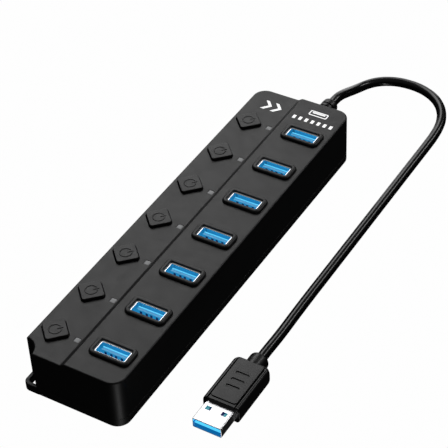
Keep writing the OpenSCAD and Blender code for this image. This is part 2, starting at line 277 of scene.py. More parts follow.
class Finishes:
    """Every finish on the hub."""

    HOUSING = Finish("housing_spark_grain", (0.006, 0.006, 0.0063), 0.46, Grain.SPARK, 0.22, 0.008)
    COVER = Finish("cover_spark_grain", (0.005, 0.005, 0.0053), 0.5, Grain.SPARK, 0.22, 0.008)
    BUTTON = Finish("button_spark_grain", (0.0115, 0.0115, 0.012), 0.45, Grain.SPARK, 0.2, 0.007)
    SHELL = Finish("socket_nickel", (0.9, 0.91, 0.93), 0.17, Grain.DRAWN_UP, 0.3, 0.0008, 0.04,
                   wear=0.03, metallic=1.0)
    # Painted highlight: the lip band is whitened by its own glow so that the far and left lips read bright.
    LIP = Finish("socket_lip_burnished", (0.9, 0.91, 0.93), 0.2, Grain.DRAWN_ALONG, 0.3, 0.0008, 0.04,
                 wear=0.03, metallic=1.0, painted_glow=0.3)
    # The socket blue glows a little: painted light that brightens it down in the socket.
    BLUE = Finish("socket_blue_nylon", (0.016, 0.26, 0.52), 0.36, Grain.SATIN, 0.4, 0.005, 0.1,
                  coat=0.2, painted_glow=0.7)
    # Lighter, glowing copy of the blue: a painted highlight for the tongue's top edge and the plug slab's
    # top.
    BLUE_LIT = Finish("blue_nylon_thin_edge", (0.09, 0.55, 0.85), 0.32, Grain.SATIN, 0.4, 0.004, 0.08,
                      painted_glow=1.05)
    # Near-black blue: painted shade for the slot pockets and the shaded half of the plug's window pads.
    BLUE_PAINTED_SHADE = Finish("blue_nylon_in_shade", (0.001, 0.012, 0.12), 0.5, Grain.SATIN, 0.4, 0.005, 0.1,
                       painted_glow=0.4)
    # Lighter teal that glows: painted light on the lit half of the pads under the plug's windows.
    TEAL = Finish("plug_latch_teal", (0.04, 0.27, 0.33), 0.4, Grain.SATIN, 0.4, 0.005, 0.15, painted_glow=0.7)
    # The window glows a little: painted light that brightens an unlit window.
    PIPE = Finish("status_window_frosted", (0.3, 0.305, 0.31), 0.5, Grain.SATIN, 0.15, 0.01, 0.2,
                  coat=0.2, painted_glow=0.2, seen_through=0.12)
    GOLD = Finish("contact_gold_flash", (0.85, 0.6, 0.24), 0.24, Grain.DRAWN_UP, 0.2, 0.003, 0.06,
                  metallic=1.0)
    BRIGHT = Finish("plug_bright_nickel", (0.93, 0.93, 0.95), 0.3, Grain.DRAWN_ALONG, 0.4, 0.003, 0.04,
                    metallic=1.0)
    # The plug's blue glows: painted light that brightens its front.
    PLUG_BLUE = Finish("plug_blue_nylon", (0.002, 0.15, 0.42), 0.34, Grain.SATIN, 0.4, 0.006, 0.12,
                       coat=0.2, painted_glow=0.8)
    CABLE = Finish("cable_satin_vinyl", (0.005, 0.005, 0.0053), 0.21, Grain.SATIN, 0.9, 0.002,
                   wear=0.03)
    GRIP = Finish("grip_soft_vinyl", (0.008, 0.008, 0.0083), 0.36, Grain.SPARK, 0.3, 0.006, wear=0.05)
    RUBBER = Finish("foot_rubber", (0.016, 0.016, 0.016), 0.75, Grain.SATIN, 0.5, 0.02)
    STEEL = Finish("screw_zinc_steel", (0.62, 0.63, 0.66), 0.3, Grain.SATIN, 0.25, 0.006, 0.08,
                   metallic=1.0)
    # The print glows a little: painted light that brightens it.
    INK = Finish("white_pad_print", (0.93, 0.93, 0.93), 0.5, Grain.SATIN, 0.2, 0.004, 0.04, painted_glow=0.75)
    BOARD = Finish("board_green_mask", (0.012, 0.12, 0.045), 0.38, Grain.WOVEN, 0.9, 0.02, 0.3, coat=0.4)
    ACETAL = Finish("plunger_acetal", (0.8, 0.79, 0.75), 0.42, Grain.SATIN, 0.4, 0.004, 0.05)
    SWITCH = Finish("switch_black_nylon", (0.014, 0.014, 0.014), 0.5, Grain.SPARK, 0.3, 0.01)
    LAMP = Finish("lamp_cream_resin", (0.75, 0.72, 0.5), 0.3, Grain.SATIN, 0.3, 0.004, 0.08)
    CHIP = Finish("chip_black_epoxy", (0.015, 0.015, 0.017), 0.55, Grain.SPARK, 0.12, 0.006)
    CAN_STEEL = Finish("crystal_can_steel", (0.7, 0.7, 0.72), 0.26, Grain.DRAWN_ALONG, 0.3, 0.004,
                       0.06, metallic=1.0)
    CAN_ALUMINIUM = Finish("capacitor_aluminium", (0.72, 0.73, 0.75), 0.32, Grain.DRAWN_UP, 0.4, 0.006,
                           0.06, metallic=1.0)
    CORE = Finish("core_red_vinyl", (0.45, 0.03, 0.02), 0.4, Grain.SATIN, 0.5, 0.01)


# ---------- mesh building ----------

def inside(point: Vector, ring: Sequence[Vector]) -> bool:
    """Whether a flat point lies in a flat ring.

    Args:
        point: the point.
        ring: the ring's corners in order.

    Returns:
        True if it lies inside.
    """
    x, y = point
    hit = False
    for a, b in zip(ring, [*ring[1:], ring[0]]):
        if (a.y > y) != (b.y > y) and x < (b.x - a.x) * (y - a.y) / (b.y - a.y) + a.x:
            hit = not hit
    return hit


class Skin:
    """Points and faces of one mesh in millimetres, gathered ring by ring."""

    def __init__(self) -> None:
        """Starts empty."""
        self.points: list[Vector] = []
        self.faces: list[tuple[int, ...]] = []
        self.finishes: list[int] = []
        self.finish = 0

    def ring(self, points: Iterable[Point3]) -> list[int]:
        """Adds a row of points.

        Args:
            points: the points in order.

        Returns:
            Their numbers.
        """
        start = len(self.points)
        self.points.extend(Vector(p) for p in points)
        return list(range(start, len(self.points)))

    def face(self, corners: Iterable[int]) -> None:
        """Adds one face of the current finish."""
        self.faces.append(tuple(corners))
        self.finishes.append(self.finish)

    def bridge(self, rings: Sequence[Sequence[int]], closed: bool = True) -> None:
        """Joins rings of equal count, each to the next.

        Args:
            rings: the rings in order.
            closed: whether each ring joins up with itself.
        """
        for a, b in zip(rings, rings[1:]):
            for k in range(len(a) if closed else len(a) - 1):
                n = (k + 1) % len(a)
                self.face((a[k], a[n], b[n], b[k]))

    def plate(self, outer: Sequence[int], holes: Sequence[Sequence[int]] = (),
              lines: Sequence[tuple[int, int]] = (), axes: str = "xy") -> None:
        """Fills a ring, around any holes, with triangles.

        Args:
            outer: the ring to fill.
            holes: rings left open.
            lines: pairs of points that an edge has to join.
            axes: the two axes that the plate is laid out in.
        """
        rings = [list(outer), *[list(h) for h in holes]]
        numbers = [i for r in rings for i in r]
        place = {i: n for n, i in enumerate(numbers)}
        flat = [Vector((getattr(self.points[i], axes[0]), getattr(self.points[i], axes[1]))) for i in numbers]
        edges = [(place[a], place[b]) for r in rings for a, b in zip(r, [*r[1:], r[0]])]
        edges += [(place[a], place[b]) for a, b in lines]
        made = delaunay_2d_cdt(flat, edges, [], 0, 1e-7)
        outlines = [[flat[place[i]] for i in r] for r in rings]
        for corners in made[2]:
            middle = sum((made[0][c] for c in corners), Vector((0, 0))) / len(corners)
            if inside(middle, outlines[0]) and not any(inside(middle, o) for o in outlines[1:]):
                self.face(numbers[made[3][c][0]] for c in corners)

    def stack(self, size: Point3, centre: Point2, rows: Iterable[Point2],
              turn: float = 0.0) -> list[list[int]]:
        """Adds level rectangles with round corners, one above the other.

        Args:
            size: width, depth and corner radius.
            centre: their middle.
            rows: pairs of inset and height.
            turn: how far they are turned, in degrees.

        Returns:
            One ring for each row.
        """
        width, depth, radius = size
        return [self.ring(at_height(rounded(width - 2 * i, depth - 2 * i, radius - i, centre, turn), z))
                for i, z in rows]

    def pillar(self, size: Point3, centre: Point2, low: float, high: float) -> None:
        """Adds an upright closed block with round corners.

        Args:
            size: width, depth and corner radius.
            centre: its middle.
            low: height of its foot.
            high: height of its top.
        """
        self.solid(self.stack(size, centre, ((0.0, low), (0.0, high))))

    def solid(self, rings: Sequence[Sequence[int]], axes: str = "xy") -> None:
        """Joins rings and closes both ends with plates.

        Args:
            rings: the rings in order.
            axes: the two axes that the ends are laid out in.
        """
        self.bridge(rings)
        self.plate(rings[0], axes=axes)
        self.plate(rings[-1], axes=axes)


def rounded(width: float, depth: float, radius: float, centre: Point2 = (0, 0),
            turn: float = 0.0, steps: int = 5) -> list[Point2]:
    """Rectangle with round corners, anticlockwise.

    Args:
        width: size along the first axis.
        depth: size along the second axis.
        radius: corner radius.
        centre: its middle.
        turn: how far it is turned, in degrees.
        steps: points along each corner, less one.

    Returns:
        The outline's points.
    """
    corners = ((1, 1, 0), (-1, 1, 90), (-1, -1, 180), (1, -1, 270))
    cos_t, sin_t = math.cos(math.radians(turn)), math.sin(math.radians(turn))
    points = []
    for side_x, side_y, start in corners:
        for k in range(steps + 1):
            angle = math.radians(start + 90 * k / steps)
            x = side_x * (width / 2 - radius) + radius * math.cos(angle)
            y = side_y * (depth / 2 - radius) + radius * math.sin(angle)
            points.append((centre[0] + x * cos_t - y * sin_t, centre[1] + x * sin_t + y * cos_t))
    return points


def round_over(radius: float, steps: int = 4) -> list[Point2]:
    """Quarter-round edge from a flat top to an upright wall.

    Args:
        radius: radius of the edge.
        steps: number of facets.

    Returns:
        Pairs of inset from the wall and drop from the top.
    """
    angles = [math.pi / 2 * k / steps for k in range(steps + 1)]
    return [(radius * (1 - math.sin(a)), radius * (1 - math.cos(a))) for a in angles]


def at_height(outline: Iterable[Point2], z: float) -> list[Point3]:
    """Lifts a flat outline to a height."""
    return [(x, y, z) for x, y in outline]


def settle(thing: bpy.types.Object) -> bpy.types.Object:
    """Bakes an object's modifiers into one plain mesh.

    Args:
        thing: the object.

    Returns:
        The same object without modifiers.
    """
    graph = bpy.context.evaluated_depsgraph_get()
    baked = bpy.data.meshes.new_from_object(
        thing.evaluated_get(graph), preserve_all_data_layers=True, depsgraph=graph)
    before = thing.data
    thing.modifiers.clear()
    thing.data = baked
    bpy.data.meshes.remove(before)
    baked.name = thing.name
    return thing


def to_object(name: str, skin: Skin, finishes: Sequence[Finish], crease: float = 34.0) -> bpy.types.Object:
    """Turns a skin into an object with merged points, outward faces and even shading.

    Args:
        name: the object's name.
        skin: its points and faces.
        finishes: its materials in the order of the skin's numbers.
        crease: angle in degrees past which an edge is sharp.

    Returns:
        The object at the origin.
    """
    mesh = bpy.data.meshes.new(name)
    mesh.from_pydata([p * MM for p in skin.points], [], skin.faces)
    for finish in finishes:
        mesh.materials.append(finish.material())
    mesh.polygons.foreach_set("material_index", skin.finishes)
    work = bmesh.new()
    work.from_mesh(mesh)
    bmesh.ops.remove_doubles(work, verts=work.verts, dist=1e-7)
    bmesh.ops.recalc_face_normals(work, faces=work.faces)
    work.to_mesh(mesh)
    work.free()
    mesh.shade_smooth()
    mesh.set_sharp_from_angle(angle=math.radians(crease))
    thing = bpy.data.objects.new(name, mesh)
    bpy.context.scene.collection.objects.link(thing)
    even = thing.modifiers.new("even shading", "WEIGHTED_NORMAL")
    even.keep_sharp = True
    return settle(thing)


def mount(thing: bpy.types.Object, body: str, slot: str, *nodes: str) -> bpy.types.Object:
    """Puts a finished piece on its body and logs it.

    Args:
        thing: the piece.
        body: the body that it rides on.
        slot: a material slot name, not used.
        nodes: the plain nodes that it stands for.

    Returns:
        The piece.
    """
    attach(thing, body)
    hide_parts(*nodes)
    LOG.info("%s rides on %s", thing.name, body)
    return thing


def box_mm(node: str) -> tuple[Vector, Vector]:
    """Middle and size of a node in millimetres.

    Args:
        node: the node's name.

    Returns:
        Its middle and its size.
    """
    low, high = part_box(node)
    return (low + high) / (2 * MM), (high - low) / MM


class Repeater:
    """A node tree that sets copies of a made part on a list of places."""

    def __init__(self) -> None:
        """Builds the tree."""
        self.tree = bpy.data.node_groups.new("copies on places", "GeometryNodeTree")
        sockets = (("Places", "Geometry"), ("Part", "Object"), ("Largest turn", "Float"),
                   ("Seed", "Int"), ("Finish", "Material"))
        for name, kind in sockets:
            self.tree.interface.new_socket(name, in_out="INPUT", socket_type=f"NodeSocket{kind}")
        self.tree.interface.new_socket("Geometry", in_out="OUTPUT", socket_type="NodeSocketGeometry")
        graph = Graph(self.tree)
        given = graph.node("NodeGroupInput").outputs
        part = graph.node("GeometryNodeObjectInfo", {"transform_space": "ORIGINAL"}, {
            "Object": given["Part"]})
        angle = graph.node("FunctionNodeRandomValue", {"data_type": "FLOAT"}, {
            2: 0.0, 3: given["Largest turn"], "Seed": given["Seed"]})
        euler = graph.node("ShaderNodeCombineXYZ", inputs={"Z": angle.outputs[1]})
        turn = graph.node("FunctionNodeEulerToRotation", inputs={0: euler.outputs[0]})
        copies = graph.node("GeometryNodeInstanceOnPoints", inputs={
            "Points": given["Places"], "Instance": part.outputs["Geometry"], "Rotation": turn.outputs[0]})
        real = graph.node("GeometryNodeRealizeInstances", inputs={0: copies.outputs[0]})
        dressed = graph.node("GeometryNodeSetMaterial", inputs={
            "Geometry": real.outputs[0], "Material": given["Finish"]})
        graph.node("NodeGroupOutput", inputs={0: dressed.outputs[0]})

    def lay(self, name: str, part: Skin, places: Sequence[Point3], finish: Finish,
            largest_turn: float = 0.0, seed: int = 7) -> bpy.types.Object:
        """Makes one piece of many copies.

        Args:
            name: the piece's name.
            part: the part about its own origin.
            places: where the copies go, in millimetres.
            finish: the finish of all of them.
            largest_turn: the most that a copy is turned about the upright, in radians.
            seed: seed of the turns.

        Returns:
            One plain mesh object.
        """
        master = to_object(f"{name}_part", part, [finish])
        mesh = bpy.data.meshes.new(name)
        mesh.from_pydata([Vector(p) * MM for p in places], [], [])
        thing = bpy.data.objects.new(name, mesh)
        bpy.context.scene.collection.objects.link(thing)
        layer = thing.modifiers.new("copies", "NODES")
        layer.node_group = self.tree
        values = {"Part": master, "Largest turn": largest_turn, "Seed": seed, "Finish": finish.material()}
        for item in self.tree.interface.items_tree:
            if item.in_out == "INPUT" and item.name in values:
                layer[item.identifier] = values[item.name]
        settle(thing)
        leftover = master.data
        bpy.data.objects.remove(master)
        bpy.data.meshes.remove(leftover)
        return thing


# ---------- casing ----------

@dataclass
class BodyPlan:
    """Plan of the body and the two levels of its roof."""

    width: float = 44.0
    length: float = 178.0
    corner: float = 5.5
    scoop: float = 6.4
    slope: Point2 = (-3.42, -0.8)
    low: float = 21.7
    high: float = 23.0
    slope_steps: int = 8
    corner_steps: int = 9

    def stations(self) -> list[float]:
        """Places across the body where the slope between the levels bends."""
        start, end = self.slope
        return [start + (end - start) * k / self.slope_steps for k in range(self.slope_steps + 1)]

    def roof(self, x: float) -> float:
        """Height of the roof.

        Args:
            x: place across the body.

        Returns:
            The height there.
        """
        share = min(1.0, max(0.0, (x - self.slope[0]) / (self.slope[1] - self.slope[0])))
        return self.low + (self.high - self.low) * (1 - math.cos(math.pi * share)) / 2

    def outline(self, inset: float) -> list[Point2]:
        """Outline drawn in by a margin, always with the same number of points.

        Args:
            inset: the margin.

        Returns:
            Points, anticlockwise from the scoop along the near edge.
        """
        half_w, half_l = self.width / 2, self.length / 2
        reach, radius = self.scoop + inset, self.corner - inset
        along = math.sqrt(reach ** 2 - inset ** 2)
        steps = self.corner_steps

        def arc(x: float, y: float, start: float) -> list[Point2]:
            """Quarter turn about a corner's centre."""
            angles = [math.radians(start + 90 * k / steps) for k in range(steps + 1)]
            return [(x + radius * math.cos(a), y + radius * math.sin(a)) for a in angles]

        points = [(x, inset - half_l) for x in (along - half_w, *self.stations())]
        points += arc(half_w - self.corner, self.corner - half_l, -90)
        points += arc(half_w - self.corner, half_l - self.corner, 0)
        points += [(x, half_l - inset) for x in reversed(self.stations())]
        points += arc(self.corner - half_w, half_l - self.corner, 90)
        first, last = math.acos(inset / reach), math.asin(inset / reach)
        for k in range(2 * steps):
            a = first + (last - first) * k / (2 * steps)
            points.append((reach * math.cos(a) - half_w, reach * math.sin(a) - half_l))
        return points

    def crossings(self, skin: Skin, ring: Sequence[int]) -> list[tuple[int, int]]:
        """Pairs of points that face each other across the body at the slope's bends.

        Args:
            skin: the mesh that holds the ring.
            ring: a ring of this outline.

        Returns:
            One pair of point numbers for each bend.
        """
        pairs = []
        for x in self.stations():
            found = [i for i in ring if abs(skin.points[i].x - x) < 1e-4]
            pairs.append((found[0], found[-1]))
        return pairs


@dataclass
class TopHousing:
    """The moulded housing: two levels, seven raised rims and the holes for the buttons and windows."""

    plan: BodyPlan
    edge: float = 0.6
    wall: float = 1.4
    roof: float = 1.6
    seam_z: float = 4.2
    seam_groove: float = 0.08
    rim: Point3 = (17.2, 9.6, 2.4)
    rim_height: float = 1.2
    rim_edge: float = 1.0
    mouth_edge: float = 0.4
    opening: Point3 = (13.4, 6.0, 0.5)
    button_hole: float = 9.1
    button_corner: float = 1.2
    hole_edge: float = 0.22
    window_hole: float = 2.3

    def body_ring(self, skin: Skin, inset: float, drop: float | None = None, z: float = 0.0) -> list[int]:
        """Adds one ring of the body's outline.

        Args:
            skin: the mesh.
            inset: how far inside the outer wall.
            drop: depth below the roof, or None for a level ring.
            z: height of a level ring.

        Returns:
            The ring's point numbers.
        """
        return skin.ring((x, y, z if drop is None else self.plan.roof(x) - drop)
                         for x, y in self.plan.outline(inset))

    def port_rings(self, skin: Skin, centre: Point2) -> list[list[int]]:
        """Rings from the roof up the raised rim, over it and down through the opening.

        Args:
            skin: the mesh.
            centre: the socket's middle.

        Returns:
            The rings; the first lies on the roof and the last on its underside.
        """
        base, top = self.plan.high, self.plan.high + self.rim_height
        rows = [(-0.03, base), (0.0, base + 0.05)]
        rows += [(i, top - d) for i, d in reversed(round_over(self.rim_edge, 7))]
        rings = skin.stack(self.rim, centre, rows)
        rows = [(-i, top - d) for i, d in round_over(self.mouth_edge, 5)] + [(0.0, base - self.roof)]
        return rings + skin.stack(self.opening, centre, rows)

    def hole_rings(self, skin: Skin, side: float, corner: float, edge: float, turn: float,
                   centre: Point2) -> list[list[int]]:
        """Rings of a square hole in the lower roof.

        Args:
            skin: the mesh.
            side: side of the hole.
            corner: its corner radius.
            edge: radius of its upper edge.
            turn: how far it is turned, in degrees.
            centre: its middle.

        Returns:
            The rings from the roof down to its underside.
        """
        rows = [(-i, self.plan.low - d) for i, d in round_over(edge, 3)] + [(0.0, self.plan.low - self.roof)]
        return skin.stack((side, side, corner), centre, rows, turn)

    def build(self, ports: Sequence[Point2], buttons: Sequence[Point2],
              windows: Sequence[Point2]) -> bpy.types.Object:
        """Makes the housing as one closed shell.

        Args:
            ports: middles of the sockets.
            buttons: middles of the buttons.
            windows: middles of the status windows.

        Returns:
            The finished piece.
        """
        skin = Skin()
        rings = [self.body_ring(skin, i, d) for i, d in round_over(self.edge)]
        groove = self.seam_groove
        rings += [self.body_ring(skin, i, z=z) for i, z in (
            (0.0, self.seam_z + groove), (groove, self.seam_z + 0.03), (self.wall, self.seam_z + 0.03))]
        rings.append(self.body_ring(skin, self.wall, self.roof))
        skin.bridge(rings)
        holes = [self.port_rings(skin, c) for c in ports]
        holes += [self.hole_rings(skin, self.button_hole, self.button_corner, self.hole_edge, 45, c)
                  for c in buttons]
        holes += [self.hole_rings(skin, self.window_hole, 0.3, 0.1, 0, c) for c in windows]
        for hole in holes:
            skin.bridge(hole)
        for level, end in ((rings[0], 0), (rings[-1], -1)):
            skin.plate(level, [h[end] for h in holes], self.plan.crossings(skin, level))
        thing = to_object("housing", skin, [Finishes.HOUSING])
        return mount(thing, ROOT, "housing_black", "top_housing")


@dataclass
class BottomCover:
    """The moulded cover underneath, with screw seats, foot pockets and the lanyard strap."""

    plan: BodyPlan
    base_z: float = 0.4
    floor_z: float = 2.0
    seam_z: float = 4.2
    seam_groove: float = 0.08
    edge: float = 0.7
    wall: float = 1.4
    lip: Point2 = (1.5, 2.4)
    lip_z: float = 5.9
    board_z: float = 6.1
    screw_x: Point2 = (-17.0, 16.5)
    foot_spread: Point2 = (14.0, 78.0)
    foot_pocket: Point2 = (5.1, 1.02)
    seat: Point3 = (2.6, 1.3, 3.4)
    seat_top: float = 2.8
    chamfer: float = 0.25
    strap: Point2 = (1.7, 3.6)
    strap_corner: float = 2.8

    def ring(self, skin: Skin, inset: float, z: float) -> list[int]:
        """Adds one level ring of the body's outline."""
        return skin.ring(at_height(self.plan.outline(inset), z))

    @staticmethod
    def circles(skin: Skin, centre: Point2, rows: Sequence[Point2], steps: int = 28) -> list[list[int]]:
        """Adds circles about an upright axis.

        Args:
            skin: the mesh.
            centre: the axis.
            rows: pairs of radius and height.
            steps: points on each circle.

        Returns:
            The circles' point numbers.
        """
        turns = [2 * math.pi * k / steps for k in range(steps)]
        return [skin.ring((centre[0] + r * math.cos(a), centre[1] + r * math.sin(a), z) for a in turns)
                for r, z in rows]

    def screws(self, ports: Sequence[Point2]) -> list[Point2]:
        """Places of the four screws, midway between sockets near each end."""
        rows = [(ports[0][1] + ports[1][1]) / 2, (ports[-1][1] + ports[-2][1]) / 2]
        return [(x, y) for x in self.screw_x for y in rows]

    def feet(self) -> list[Point2]:
        """Places of the four feet."""
        return [(sx * self.foot_spread[0], sy * self.foot_spread[1]) for sx in (-1, 1) for sy in (-1, 1)]

    def add_strap(self, skin: Skin) -> None:
        """Adds the curved strap that bridges the scooped corner.

        Args:
            skin: the mesh.
        """
        thick, high = self.strap
        left, near = -self.plan.width / 2, -self.plan.length / 2
        turn = self.strap_corner
        reach = turn - thick / 2
        centre = (left + turn, near + turn)
        end = self.plan.scoop + 0.4
        path = [((left + thick / 2, near + end), (-1.0, 0.0))]
        for k in range(13):
            a = math.radians(180 + 90 * k / 12)
            outward = (math.cos(a), math.sin(a))
            path.append(((centre[0] + reach * outward[0], centre[1] + reach * outward[1]), outward))
        path.append(((left + end, near + thick / 2), (0.0, -1.0)))
        middle = self.base_z + high / 2
        rings = [skin.ring((p[0] + u * n[0], p[1] + u * n[1], middle + v)
                           for u, v in rounded(thick, high, 0.45, steps=4)) for p, n in path]
        skin.bridge(rings)
        for end, axes in ((rings[0], "xz"), (rings[-1], "yz")):
            skin.plate(end, axes=axes)

    def build(self, ports: Sequence[Point2]) -> bpy.types.Object:
        """Makes the cover as one closed shell with its strap.

        Args:
            ports: middles of the sockets.

        Returns:
            The finished piece.
        """
        skin = Skin()
        base, groove = self.base_z, self.seam_groove
        rows = [(i, base + d) for i, d in round_over(self.edge)]
        rows += [(0.0, self.seam_z - groove), (groove, self.seam_z - 0.03), (self.lip[0], self.seam_z - 0.03),
                 (self.lip[0], self.lip_z), (self.lip[1], self.lip_z), (self.lip[1], self.floor_z + 1.2),
                 (self.wall, self.floor_z + 0.6), (self.wall, self.floor_z)]
        rings = [self.ring(skin, i, z) for i, z in rows]
        skin.bridge(rings)
        wide, bore, boss = self.seat
        seats = [self.circles(skin, c, (
            (wide + self.chamfer, base), (wide, base + self.chamfer), (wide, self.seat_top),
            (bore, self.seat_top), (bore, self.board_z), (boss, self.board_z), (boss, self.floor_z)))
            for c in self.screws(ports)]
        for seat in seats:
            skin.bridge(seat)
        pocket, depth = self.foot_pocket
        rim = 0.15
        pockets = [self.circles(skin, c, ((pocket + rim, base), (pocket, base + rim), (pocket, depth)), 40)
                   for c in self.feet()]
        for hole in pockets:
            skin.bridge(hole)
            skin.plate(hole[-1])
        skin.plate(rings[0], [s[0] for s in seats] + [p[0] for p in pockets])
        skin.plate(rings[-1], [s[-1] for s in seats])
        self.add_strap(skin)
        return mount(to_object("cover", skin, [Finishes.COVER]), ROOT, "cover_black", "bottom_cover")

    def build_fixings(self, repeater: Repeater, ports: Sequence[Point2]) -> None:
        """Lays the cross-head screws and the rubber feet.

        Args:
            repeater: the node tree that lays copies.
            ports: middles of the sockets.
        """
        screw = Skin()
        profile = [(0.0, 15.0), (0.5, 14.4), (1.1, 12.8), (1.1, 2.8), (2.1, 2.8), (2.3, 2.55), (2.25, 2.0),
                   (1.95, 1.45), (1.5, 1.2)]
        rings = self.circles(screw, (0, 0), profile, 32)
        screw.bridge(rings)
        arm, half = 1.2, 0.28
        cross = [(arm, -half), (arm, half), (half, half), (half, arm), (-half, arm), (-half, half),
                 (-arm, half), (-arm, -half), (-half, -half), (-half, -arm), (half, -arm), (half, -half)]
        mouth = screw.ring(at_height(cross, 1.2))
        floor = screw.ring(at_height([(0.8 * x, 0.8 * y) for x, y in cross], 2.1))
        screw.plate(rings[-1], [mouth])
        screw.bridge([mouth, floor])
        screw.plate(floor)
        thing = repeater.lay("screws", screw, [(*p, 0.0) for p in self.screws(ports)], Finishes.STEEL, 1.5, 3)
        mount(thing, ROOT, "screw_steel", "cover_screws")
        foot = Skin()
        rings = self.circles(foot, (0, 0), (
            (0.0, 0.12), (2.6, 0.12), (3.0, 0.0), (4.35, 0.0), (4.75, 0.1), (4.95, 0.35), (5.0, 1.0),
            (0.0, 1.0)), 40)
        foot.bridge(rings)
        thing = repeater.lay("feet", foot, [(*p, 0.0) for p in self.feet()], Finishes.RUBBER)
        mount(thing, ROOT, "foot_rubber", "rubber_feet")


# ---------- switches and windows ----------

@dataclass
class PushButton:
    """A diamond-set button cap with a raised power sign."""

    side: float = 8.7
    corner: float = 1.0
    top: float = 22.8
    edge: float = 0.3
    skirt_z: float = 18.95
    flange_top: float = 19.95
    flange_side: float = 10.6
    flange_corner: float = 1.4
    wall: float = 1.0
    roof: float = 1.4
    flange_limit: float = -5.9
    post: Point2 = (2.4, 1.53)
    post_z: float = 16.5
    post_hole_z: float = 17.9
    sign_radius: float = 2.6
    sign_line: float = 0.5
    sign_raise: float = 0.16
    sign_gap: float = 0.95

    def add_cap(self, skin: Skin, x: float, y: float) -> None:
        """Adds the hollow cap with its flange.

        Args:
            skin: the mesh.
            x: the cap's middle across the body.
            y: the cap's middle along the body.
        """
        def diamond(side: float, corner: float, z: float) -> list[int]:
            """One diamond ring, trimmed beside the outer wall."""
            points = rounded(side, side, corner, turn=45, steps=6)
            return skin.ring((x + max(u, self.flange_limit), y + v, z) for u, v in points)

        rings = [diamond(self.side - 2 * i, self.corner - i, self.top - d)
                 for i, d in round_over(self.edge)]
        rings.append(diamond(self.side, self.corner, self.flange_top))
        inner = self.side - 2 * self.wall
        rings.append(diamond(self.flange_side, self.flange_corner, self.flange_top))
        rings.append(diamond(self.flange_side, self.flange_corner, self.skirt_z))
        rings.append(diamond(inner, self.corner / 2, self.skirt_z))
        rings.append(diamond(inner, self.corner / 2, self.top - self.roof))
        skin.solid(rings)
        outer, bore = self.post
        rows = ((0.0, self.top - 1.3), (outer, self.top - 1.3), (outer, self.post_z + 0.2),
                (outer - 0.2, self.post_z), (bore, self.post_z), (bore, self.post_hole_z),
                (0.0, self.post_hole_z))
        skin.bridge(BottomCover.circles(skin, (x, y), rows, 24))

    def add_strip(self, skin: Skin, path: Sequence[tuple[Point2, Point2]]) -> None:
        """Adds one raised line of the sign.

        Args:
            skin: the mesh.
            path: points of the line, each with its sideways direction.
        """
        half, high = self.sign_line / 2, self.sign_raise
        profile = ((-half, -0.05), (-half, high * 0.55), (0.12 - half, high), (half - 0.12, high),
                   (half, high * 0.55), (half, -0.05))
        rings = [skin.ring((p[0] + u * n[0], p[1] + u * n[1], self.top + v) for u, v in profile)
                 for p, n in path]
        skin.bridge(rings)
        skin.face(rings[0])
        skin.face(rings[-1])

    def add_sign(self, skin: Skin, x: float, y: float) -> None:
        """Adds the open ring and the bar in its gap.

        Args:
            skin: the mesh.
            x: the cap's middle across the body.
            y: the cap's middle along the body.
        """
        radius = self.sign_radius - self.sign_line / 2
        gap = math.degrees(math.asin(self.sign_gap / radius))
        path = []
        for k in range(41):
            a = math.radians(45 + gap + (360 - 2 * gap) * k / 40)
            way = (math.cos(a), math.sin(a))
            path.append(((x + radius * way[0], y + radius * way[1]), way))
        self.add_strip(skin, path)
        up = (math.sqrt(0.5), math.sqrt(0.5))
        across = (up[0], -up[1])
        ends = (0.7, self.sign_radius + 0.4)
        self.add_strip(skin, [((x + s * up[0], y + s * up[1]), across) for s in ends])

    def build(self, number: int) -> bpy.types.Object:
        """Makes one button on its own body.

        Args:
            number: the button's number, from one.

        Returns:
            The finished piece.
        """
        node = f"button_cap_{number}"
        low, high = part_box(node)
        x = high.x / MM - self.flange_side * math.sqrt(0.5) + self.flange_corner * (math.sqrt(2) - 1)
        y = (low.y + high.y) / (2 * MM)
        skin = Skin()
        self.add_cap(skin, x, y)
        self.add_sign(skin, x, y)
        thing = to_object(f"button_{number}_cap", skin, [Finishes.BUTTON])
        return mount(thing, f"button_{number}", "button_black", node)


@dataclass
class StatusWindow:
    """The frosted end of a light pipe, flush with the lower roof."""

    side: float = 2.16
    corner: float = 0.25
    top: float = 21.7
    flange_z: Point2 = (18.9, 20.1)

    def build(self, number: int) -> bpy.types.Object:
        """Makes one light pipe.

        Args:
            number: the port's number, from one.

        Returns:
            The finished piece.
        """
        node = f"light_pipe_{number}"
        middle, size = box_mm(node)
        bottom = middle.z - size.z / 2
        centre = (middle.x, middle.y)
        skin = Skin()
        flange = size.x
        under, over = self.flange_z
        rows = ((self.side, bottom), (self.side, under), (flange, under), (flange, over), (self.side, over),
                (self.side, self.top - 0.12), (self.side - 0.14, self.top - 0.03),
                (self.side * 0.55, self.top + 0.03))
        skin.solid([skin.ring(at_height(rounded(s, s, self.corner * s / self.side, centre), z))
                    for s, z in rows])
        return mount(to_object(f"status_window_{number}", skin, [Finishes.PIPE]), ROOT, "pipe_clear", node)


# ---------- sockets ----------

@dataclass(frozen=True)
class Punched:
    """A window punched through one long wall of a metal sleeve."""

    wall: int
    across: Point2
    along: Point2


